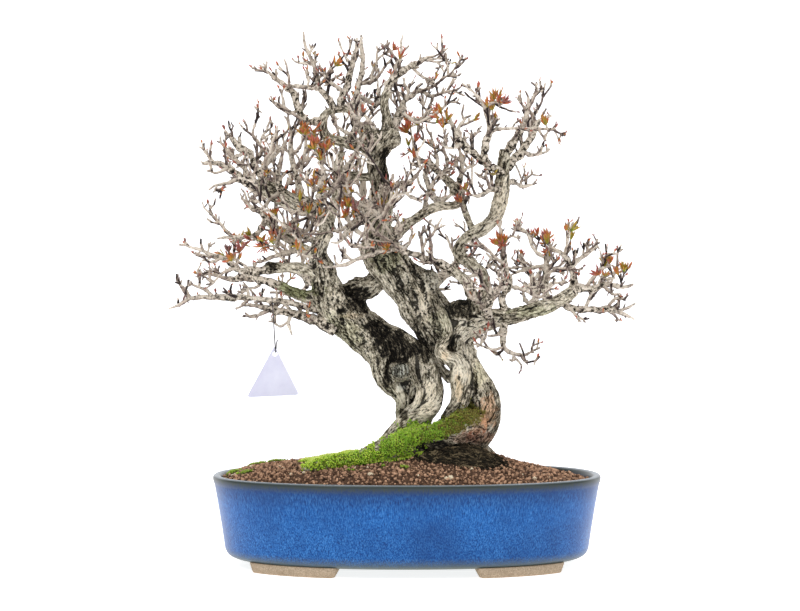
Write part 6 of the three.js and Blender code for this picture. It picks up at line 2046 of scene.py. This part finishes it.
@dataclass
class Moss:
    """Short moss on the surface root and on the soil in front of it."""

    soil: Soil
    wood: Wood
    height: float = 2.0
    width: float = 0.72
    on_root: int = 12500
    on_bed: int = 10000
    bed_low: tuple = (-160.0, -84.0)
    bed_high: tuple = (40.0, 52.0)

    @staticmethod
    def on_wood(points: Array, normals: Array, ragged: Array) -> Array:
        """How mossy the wood is: between two lines of the front view, on its front and top.

        Args:
            points: (n, 3) places on the wood.
            normals: (n, 3) outward normals.
            ragged: (n,) noise about 0 that breaks the edges.

        Returns:
            (n,) values from 0 to 1.
        """
        column, row = VIEW.seen(points)
        above = row - np.interp(column, *zip(*MOSS_TOP))
        below = np.interp(column, *zip(*MOSS_BOTTOM)) - row
        depth = np.minimum(above, below) / 3 + 7 * ragged + 0.9
        inside = (column > MOSS_COLUMNS[0]) & (column < MOSS_COLUMNS[1]) & (points[:, 1] < MOSS_BACK)
        facing = np.clip(1.2 * np.maximum(normals[:, 2], -normals[:, 1]) + 0.3, 0, 1)
        sparse = np.clip((column - 436) / 40, 0, 1)
        return np.clip(depth * (1 - 0.6 * sparse) - 0.35 * sparse, 0, 1) * inside * facing

    @staticmethod
    def on_soil(x: Array, y: Array) -> Array:
        """How mossy the soil is: the most that any of a few ellipses gives, full in its inner third."""
        return np.max([strength * np.clip(1.6 - 1.6 * from_middle(x - POT_MIDDLE_X, y, middle, half), 0, 1)
                       for middle, half, strength in MOSS_PATCHES], axis=0)

    def blades(self, shape: Shape, roots: Array, headings: Array, fresh: Array, dry: Array,
               draw: np.random.Generator) -> None:
        """Adds moss leaves, each a thin spike of four faces.

        Args:
            shape: what they are added to.
            roots: (n, 3) where they stand.
            headings: (n, 3) which way they point.
            fresh: (n,) how bright they are.
            dry: (n,) how dry they are.
            draw: for their size and lean.
        """
        count = len(roots)
        heading = unit(headings + draw.normal(0, 0.45, (count, 3)))
        side = square_to(heading)
        other = np.cross(heading, side)
        height = self.height * draw.uniform(0.5, 1.3, (count, 1))
        turn = np.arange(3) * 2 * np.pi / 3 + draw.uniform(0, 6.3, (count, 1))
        foot = roots - 0.5 * heading
        across = np.cos(turn)[..., None] * side[:, None] + np.sin(turn)[..., None] * other[:, None]
        ring = foot[:, None] + self.width * across
        points = np.concatenate([ring, (foot + heading * height)[:, None]], axis=1)
        faces = [[0, 1, 3], [1, 2, 3], [2, 0, 3], [2, 1, 0]]
        shape.add_copies(points, faces, along=[0.0, 0.0, 0.0, 1.0], fresh=fresh[:, None], dry=dry[:, None])

    def build(self) -> None:
        """Stands moss leaves on the mossy parts of the trunk's skin and of the soil."""
        draw = Seed.MOSS.draw()
        shape = Shape()
        points, normals = (np.concatenate(rows) for rows in zip(*self.wood.skins))
        mossy = self.on_wood(points, normals, self.wood.ripple.layered(points * 0.2, 3) - 0.5)
        chosen = draw.choice(len(points), self.on_root, p=mossy / mossy.sum())
        points, normals = points[chosen], normals[chosen]
        cushion = self.wood.ripple.layered(points * 0.17, 2)
        roots = points + draw.normal(0, 0.5, (self.on_root, 3)) + (2.4 * cushion[:, None] - 0.4) * normals
        column = VIEW.seen(roots)[0]
        varied = draw.uniform(-0.2, 0.4, self.on_root) + 2.6 * (cushion - 0.5)
        fresh = np.clip((412 - column) / 70 + varied, 0, 1)
        patchy = 3.2 * (self.wood.ripple.layered(points * 0.4 + 7.0, 2) - 0.5)
        dry = np.clip((column - 420) / 30 + patchy + draw.uniform(-0.4, 0.3, self.on_root), 0, 0.95)
        self.blades(shape, roots, unit(normals + 0.6 * UP), fresh, dry, draw)
        x, y = (draw.uniform(low, high, 7 * self.on_bed) for low, high in zip(self.bed_low, self.bed_high))
        x = x + POT_MIDDLE_X
        ragged = self.wood.ripple.layered(np.stack([x, y, 0 * x], axis=1) * 0.11, 3)
        thick = self.on_soil(x, y) * np.clip(4 * ragged - 1.1, 0, 1.2)
        kept = np.flatnonzero(thick > draw.uniform(0.15, 1.0, len(x)))[:self.on_bed]
        x, y, ragged = x[kept], y[kept], ragged[kept]
        z = self.soil.height(x, y) + 1.5 * self.on_soil(x, y) + 3.2 * (ragged - 0.2)
        lone = np.clip((-86 - x) / 10, 0, 1) + np.clip((-66 - y) / 4, 0, 1)
        fresh = np.clip(0.75 + 2.2 * (ragged - 0.5) + draw.uniform(-0.4, 0.3, len(x)) - lone, 0, 1)
        dry = np.clip(lone * draw.uniform(-0.2, 0.9, len(x)), 0, 0.8)
        self.blades(shape, np.stack([x, y, z], axis=1), np.tile(UP, (len(x), 1)), fresh, dry, draw)
        shape.piece("moss", [MossFinish()])


@dataclass(frozen=True)
class Cluster:
    """A kind of leaf cluster: its leaves, their length and fan, and how far they have opened."""

    leaves: tuple[int, int]
    length: tuple[float, float]
    spread: float
    ripe: float


@dataclass
class Twigs:
    """Fine twigs, thorns and leaf clusters, for limbs of any kind.

    Each of the levels of twigs is given by a twig's number of sides and of thorns, and crowding by columns
    of the front view, each with how much wider apart twigs stand there.
    """

    wood: Wood
    spacing: tuple[float, float] = (7.4, 13.5)
    length: tuple[float, float] = (5.5, 18.0)
    long: tuple[float, float] = (24.0, 50.0)
    thickest: float = 1.9
    thinnest: float = 1.2
    slimmest: float = 0.87
    rings: int = 7
    margin: float = 6.0
    most: int = 80
    levels: tuple = ((5, 0.35), (4, 0.1))
    thorn_length: tuple[float, float] = (1.6, 4.6)
    thorn_radii: tuple = (0.8, 0.66, 0.4)
    stub_length: tuple[float, float] = (2.4, 6.4)
    stub_radius: tuple[float, float] = (0.82, 1.1)
    crowding: tuple = ((300, 1.1), (320, 1.0), (430, 1.0), (450, 0.88))
    large: Cluster = Cluster((5, 9), (7.0, 11.5), 0.5, 0.68)
    small: Cluster = Cluster((2, 3), (3.8, 6.4), 0.36, 0.36)
    flourishing: float = 0.6
    budding: float = 0.22
    tag_place: tuple = (273.0, -22.0)
    tag_rows: tuple = (296.0, 345.0)
    thicket: tuple = ((262.0, 402.0), (140.0, 262.0))

    def inside(self, points: Array) -> Array:
        """Whether points are well inside the CAD box, and clear of the tag and its wire.

        Args:
            points: (n, 3) places.

        Returns:
            (n,) True where they are.
        """
        held = np.all((points > BOX_LOW + self.margin) & (points < BOX_HIGH - self.margin), axis=1)
        column, row = VIEW.seen(points)
        aside, behind = np.abs(column - self.tag_place[0]), np.abs(points[:, 1] - self.tag_place[1])
        reach = 5 + 0.5 * np.maximum(row - self.tag_rows[1], 0)
        return held & ~((behind < 8) & (row > self.tag_rows[0]) & (aside < reach))

    def tangled(self, points: Array) -> Array:
        """Whether points are in the thicket left of the view's middle, where long shoots cross."""
        held = [(seen > low) & (seen < high) for seen, (low, high) in zip(VIEW.seen(points), self.thicket)]
        return np.all(held, axis=0)

    def clustered(self, points: Array) -> Array:
        """How near points are to the places of the large clusters in the front view.

        Args:
            points: (n, 3) places.

        Returns:
            (n,) values, 1 at a cluster and 0 far from all.
        """
        column, row = (rows[:, None] for rows in VIEW.seen(points))
        columns, rows = np.array(CLUSTERS, float).T
        return np.clip((12 - np.hypot(column - columns, row - rows).min(axis=1)) / 6, 0, 1)

    def grown(self, starts: Array, headings: Array, lengths: Array, radii: Array,
              draw: np.random.Generator) -> tuple[Array, Array]:
        """Paths of many twigs: straight to a joint, where they turn, mostly upwards.

        Args:
            starts: (n, 3) where they grow.
            headings: (n, 3) which way they set off.
            lengths: (n,) how long they are.
            radii: (n,) how thick they are at the foot.
            draw: for their joints.

        Returns:
            (n, rings, 3) places and (n, rings) radii.
        """
        count = len(starts)
        share = np.linspace(0, 1, self.rings)[None, :, None]
        joint = draw.uniform(0.2, 0.7, (count, 1, 1))
        turned = 0.6 * UP * draw.uniform(-0.1, 1, (count, 1)) + draw.normal(0, 0.28, (count, 3))
        course = headings[:, None] * share + turned[:, None] * np.maximum(0, share - joint)
        course = course + draw.normal(0, 0.012, (count, self.rings, 3)) * np.minimum(1, 4 * share)
        taper = 1 - 0.35 * share[..., 0] + draw.uniform(-0.1, 0.18, (count, self.rings))
        widths = np.maximum(radii[:, None] * taper, self.slimmest)
        return starts[:, None] + lengths[:, None, None] * course, widths

    def leaves(self, shape: Shape, tips: Array, headings: Array, kind: Cluster,
               draw: np.random.Generator) -> None:
        """Adds a cluster of leaves at each tip: narrow blades, folded along their middle and curled back.

        Args:
            shape: what they are added to.
            tips: (n, 3) the twigs' tips.
            headings: (n, 3) the way the twigs point.
            kind: what the clusters are like.
            draw: for age, number, size and spread. An age is 0 where leaves are red and 1 where green.
        """
        ages = np.clip(draw.normal(kind.ripe, 0.24, len(tips)), 0, 1)
        number = draw.integers(kind.leaves[0], kind.leaves[1] + 1, len(tips))
        which = np.repeat(np.arange(len(tips)), number)
        count = len(which)
        heading = unit(headings[which] + draw.normal(0, kind.spread, (count, 3)) + 0.6 * UP)
        side = unit(np.cross(heading, unit(draw.normal(size=(count, 3)))))
        back = np.cross(heading, side)
        length = draw.uniform(*kind.length, count)[:, None]
        length = length * (0.7 + 0.55 * draw.random((len(tips), 1))[which])
        wide = np.clip(length * draw.uniform(0.1, 0.15, (count, 1)), 0.62, 1.05)
        rings = [(t, w, h) for t, half in ((0.3, 0.85), (0.62, 1.0))
                 for w, h in ((half, 0.35), (0, 0.2), (-half, 0.35), (0, -0.2))]
        local = np.array([(0.0, 0.0, 0.0), *rings, (1.0, 0.0, -0.1)])
        curl = draw.uniform(-0.1, 0.25, (count, 1))
        along, across, out = (local[:, k] for k in range(3))
        foot = tips[which] - 0.5 * heading
        points = foot[:, None] + (length * along)[..., None] * heading[:, None]
        points = points + (wide * across)[..., None] * side[:, None]
        points = points + (wide * out + length * curl * along**2)[..., None] * back[:, None]
        faces = []
        for near, far in ((1, 2), (2, 3), (3, 4), (4, 1)):
            on, beyond = near + 4, far + 4
            faces += [[0, far, near], [9, on, beyond], [near, far, on], [on, far, beyond]]
        age = np.clip(ages[which] + draw.normal(0, 0.13, count), 0, 1)
        shape.add_copies(points, faces, slot=1, tint=age[:, None], along=along, thickness=0.0, upward=0.0)

    def woody(self, shape: Shape, paths: Array, radii: Array, sides: int, tints: Array,
              gnarl: float = 0.0) -> None:
        """Adds tubes of young bark.

        Args:
            shape: what they are added to.
            paths: (n, rings, 3) places.
            radii: (n, rings) their radii.
            sides: how many sides a tube has.
            tints: (n,) each one's tint, from 0 dark to 1 pale.
            gnarl: how far lumps stand out, in radii.
        """
        points, quads, triangles = swept(paths, radii, sides)
        thickness = per_ring(radii, sides)
        normals = point_normals(points, quads)
        if gnarl:
            lumps = self.wood.ripple.layered(points * 0.3, 3) - 0.5
            points = points + normals * (2 * gnarl * lumps * np.minimum(thickness, 2.4))[:, None]
        tint = np.repeat(tints, len(points) // len(paths))
        # upward is each point's upward normal part, which the finish turns into painted top light and
        # underside shade
        shape.add(points, quads, triangles, thickness=thickness, tint=tint, along=0 * thickness,
                  upward=normals[:, 2])

    def forked(self, starts: Array, ahead: Array, lean: float, draw: np.random.Generator) -> Array:
        """Which way shoots set off: at any turn round the limb, a little along it and upwards.

        Args:
            starts: (n, 3) where they grow.
            ahead: (n, 3) the limb's line a little further on.
            lean: how much they lean along it.
            draw: for the turns.

        Returns:
            (n, 3) unit vectors.
        """
        tangent = unit(ahead - starts + 1e-6)
        side = square_to(tangent)
        turn = draw.uniform(0, 2 * np.pi, (len(starts), 1))
        outward = np.cos(turn) * side + np.sin(turn) * np.cross(tangent, side)
        return unit(lean * tangent + outward + 0.45 * UP)

    def thorns(self, shape: Shape, paths: Array, radii: Array, each: float,
               draw: np.random.Generator) -> None:
        """Adds short pointed stubs along paths.

        Args:
            shape: what they are added to.
            paths: (n, rings, 3) places.
            radii: (n, rings) their radii.
            each: how many stubs a path has, on the mean.
            draw: for their places and ways.
        """
        parent = np.repeat(np.arange(len(paths)), draw.poisson(each, len(paths)))
        ring = draw.integers(1, paths.shape[1] - 1, len(parent))
        starts = paths[parent, ring]
        heading = self.forked(starts, paths[parent, ring + 1], 0.7, draw)
        length = draw.uniform(*self.thorn_length, (len(parent), 1)) + radii[parent, ring][:, None]
        held = self.inside(starts + heading * length)
        if held.any():
            share = np.linspace(0, 1, 3)[None, :, None]
            lines = starts[held][:, None] + (heading * length)[held][:, None] * share
            widths = np.tile(self.thorn_radii, (held.sum(), 1))
            self.woody(shape, lines, widths, 4, draw.uniform(0, 0.5, held.sum()))

    def stubs(self, shape: Shape, tips: Array, ways: Array,
              draw: np.random.Generator) -> tuple[Array, Array]:
        """Adds one to four blunt stubs that fan out from each tip, as on shoots that are cut back each year.

        Args:
            shape: what they are added to.
            tips: (n, 3) the twigs' tips.
            ways: (n, 3) the way each twig points.
            draw: for number, length and way.

        Returns:
            The stubs' own tips and ways.
        """
        which = np.repeat(np.arange(len(tips)), draw.integers(1, 5, len(tips)))
        heading = unit(ways[which] + draw.normal(0, 0.55, (len(which), 3)) + 0.35 * UP)
        length = draw.uniform(*self.stub_length, (len(which), 1, 1))
        share = np.array([0.0, 0.6, 1.0])[:, None]
        lines = (tips - 0.8 * ways)[which][:, None] + length * heading[:, None] * share
        held = self.inside(lines[:, -1])
        lines, heading = lines[held], heading[held]
        if held.any():
            widths = draw.uniform(*self.stub_radius, (len(lines), 1)) * [1.0, 0.86, 0.72]
            self.woody(shape, lines, widths, 4, draw.uniform(0.0, 0.85, len(lines)))
        return lines[:, -1], heading

    def dress(self, shape: Shape, places: Array, radii: Array, draw: np.random.Generator,
              first: float = 5.0) -> None:
        """Grows twigs along one limb, lesser twigs on them, thorns, and stubs and leaves at the tips.

        Args:
            shape: what they are added to.
            places: (n, 3) the limb's line.
            radii: (n,) its radius.
            draw: for everything that differs.
            first: how far along the limb they begin.
        """
        arc = self.wood.arc_of(places)
        apart = np.interp(VIEW.seen(places)[0].mean(), *zip(*self.crowding))
        at = first + apart * np.cumsum(draw.uniform(*self.spacing, self.most))
        at = at[at < arc[-1] - 2]
        starts = np.stack([np.interp(at, arc, places[:, k]) for k in range(3)], axis=1)
        ahead = np.stack([np.interp(at + 2, arc, places[:, k]) for k in range(3)], axis=1)
        thick = np.interp(at, arc, radii)
        heading = self.forked(starts, ahead, 0.6, draw)
        is_long = draw.random(len(at)) < np.where(self.tangled(starts), 0.38, 0.0)
        low, high = self.length
        long = draw.uniform(*self.long, len(at))
        lengths = np.where(is_long, long, low + (high - low) * draw.random(len(at)) ** 1.6)
        feet = np.clip(0.6 * thick, self.thinnest, self.thickest)
        self.thorns(shape, places[None], radii[None], arc[-1] / 20, draw)
        tips, ways = [places[-1:]], [unit(places[-1:] - places[-3:-2])]
        for level, (sides, thorny) in enumerate(self.levels):
            if level:
                more = (lengths > 8).astype(int) + (lengths > 13) + (lengths > 22)
                parent = np.repeat(np.arange(len(paths)), more)
                ring = draw.integers(2, 6, len(parent))
                starts = paths[parent, ring]
                heading = self.forked(starts, paths[parent, ring + 1], 0.8, draw)
                feet = 0.9 * widths[parent, ring]
                lengths = np.minimum(lengths[parent] * draw.uniform(0.3, 0.7, len(parent)), 15)
            held = self.inside(starts + heading * (lengths + 3)[:, None]) & (lengths > 2.5)
            if not held.any():
                break
            starts, heading, lengths, feet = starts[held], heading[held], lengths[held], feet[held]
            paths, widths = self.grown(starts, heading, lengths, feet, draw)
            tints = draw.random(len(paths)) ** np.where(self.tangled(starts), 0.85, 1.6)
            self.woody(shape, paths, widths, sides, tints)
            self.thorns(shape, paths, widths, thorny, draw)
            tips.append(paths[:, -1])
            ways.append(unit(paths[:, -1] - paths[:, -3]))
        tips, ways = self.stubs(shape, np.concatenate(tips), np.concatenate(ways), draw)
        chance = draw.random(len(tips))
        large = (chance < self.flourishing * self.clustered(tips)) & self.inside(tips + 4 * ways + 4 * UP)
        small = ~large & (chance > 1 - self.budding) & self.inside(tips)
        for leafy, kind in ((large, self.large), (small, self.small)):
            if leafy.any():
                self.leaves(shape, tips[leafy], ways[leafy], kind, draw)


@dataclass
class Sprays:
    """The leafy sprays: each stands for one CAD spray."""

    wood: Wood
    twigs: Twigs
    rings: int = 28
    sides: int = 10
    gnarl: float = 0.55
    crook: float = 0.75
    joints: int = 60
    joint_gap: float = 9.0
    swelling: float = 0.28
    thinnest: float = 0.6
    bare_foot: float = 12.0

    def limb(self, stations: list, draw: np.random.Generator) -> tuple[Array, Array]:
        """A limb's line and radius: it turns a little at each joint, and swells there.

        Args:
            stations: [column, row, depth, radius] rows.
            draw: for the joints.

        Returns:
            (rings, 3) places and (rings,) radii.
        """
        stations = np.array(stations, float)
        places = smooth_path(VIEW.place(stations), self.rings - 1)
        radii = linear_values(stations[:, 3], self.rings - 1)
        arc = self.wood.arc_of(places)
        _, side, other = (rows[0] for rows in carried_frames(places[None]))
        joints = np.cumsum(draw.uniform(0.6, 1.4, self.joints)) * self.joint_gap
        aside, above = draw.normal(0, self.crook, (2, self.joints)) * np.minimum(1, joints / 20)
        joints = np.concatenate([[0.0], joints])
        places = places + np.interp(arc, joints, [0, *aside])[:, None] * side
        places = places + np.interp(arc, joints, [0, *above])[:, None] * other
        away = np.abs(arc[:, None] - joints[None, 1:]).min(axis=1)
        return places, np.maximum(radii * (1 + self.swelling * np.exp(-((away / 1.6) ** 2))), self.thinnest)

    def build(self) -> None:
        """Makes a piece for each spray, and the twigs along the trunk's own limbs."""
        draw = Seed.TWIGS.draw()
        for name, limbs in SPRAYS.items():
            shape = Shape()
            drawn = [self.limb(stations, draw) for stations in limbs]
            paths, radii = (np.stack(rows) for rows in zip(*drawn))
            self.twigs.woody(shape, paths, radii, self.sides, draw.uniform(0.4, 0.9, len(drawn)), self.gnarl)
            for line in drawn:
                self.twigs.dress(shape, *line, draw)
            shape.hold()
            shape.piece(f"twigs_{name}", [TwigFinish(), LeafFinish()], (f"spray_{name}",))
        shape = Shape()
        for name, (places, radii) in self.wood.lines.items():
            if self.wood.is_limb(name) and places[:, 2].min() > self.wood.lowest_shoot:
                self.twigs.dress(shape, places, radii, draw, self.bare_foot)
        shape.hold()
        shape.piece("limb_shoots", [TwigFinish(), LeafFinish()])


@dataclass
class TagTie:
    """The thin wire: a knot, a turn round the twig, a drop and a loop through the tag's hole."""

    radius: float = 0.45
    ring: float = 3.3
    loop_height: float = 3.7
    loop_depth: float = 1.7
    hole_to_loop: float = 5.0
    top: tuple = (272.5, 300, -22)
    hole: tuple = (274.8, 354, -22)

    def path(self) -> Array:
        """The wire's line in mm.

        Returns:
            (n, 3) places: a tail, a helix of one turn, a straight drop, an oval and a short tail.
        """
        top, hole = VIEW.place(self.top), VIEW.place(self.hole)
        turn = np.linspace(-0.5 * np.pi, 1.5 * np.pi, 25)
        shift = np.linspace(-1.1, 0.0, 25)
        wrap = top + np.stack([shift, self.ring * np.cos(turn), self.ring * np.sin(turn)], axis=1)
        tail = wrap[0] + np.array([[-3.4, -0.6, -2.6], [-1.9, -0.5, -2.0], [-0.6, -0.3, -0.9]])
        centre = hole + UP * self.hole_to_loop
        swing = np.linspace(0.5 * np.pi, 2.4 * np.pi, 25)
        aside = np.linspace(0.0, 1.2, 25)
        across, upward = self.loop_depth * np.cos(swing), self.loop_height * np.sin(swing)
        loop = centre + np.stack([aside, across, upward], axis=1)
        drop = wrap[-1] + (loop[0] - wrap[-1]) * np.linspace(0.06, 0.94, 9)[:, None]
        end = loop[-1] + np.array([[0.4, 0.2, 1.6], [0.9, 0.1, 3.4]])
        return smooth_path(np.vstack([tail, wrap, drop, loop, end]), 240)

    def build(self) -> None:
        path = self.path()
        shape = Shape()
        shape.add(*swept(path[None], np.full((1, len(path)), self.radius), 10))
        made = shape.piece("tie_wire", [WireFinish()], ("tag_tie",))


def dress_node(name: str, finish: object) -> None:
    """Gives a CAD node a better material.

    Args:
        name: the node.
        finish: its finish.
    """
    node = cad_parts[name]
    node.data.materials.clear()
    node.data.materials.append(finish.material())
    LOG.info("%s: dressed", name)


def main() -> None:
    """Builds the studio and every piece, the camera and the cord first."""
    logging.basicConfig(level=logging.INFO, format="%(name)s: %(message)s")
    Studio().build()
    TagTie().build()
    dress_node("tag", TagFinish())
    for side in ("left", "right"):
        dress_node(f"drain_screen_{side}", ScreenFinish())
    pot = Pot()
    pot.build()
    wood = Wood()
    wood.build()
    soil = Soil(pot)
    moss = Moss(soil, wood)
    soil.build(moss, wood)
    moss.build()
    Sprays(wood, Twigs(wood)).build()


if __name__ == "__main__":
    main()
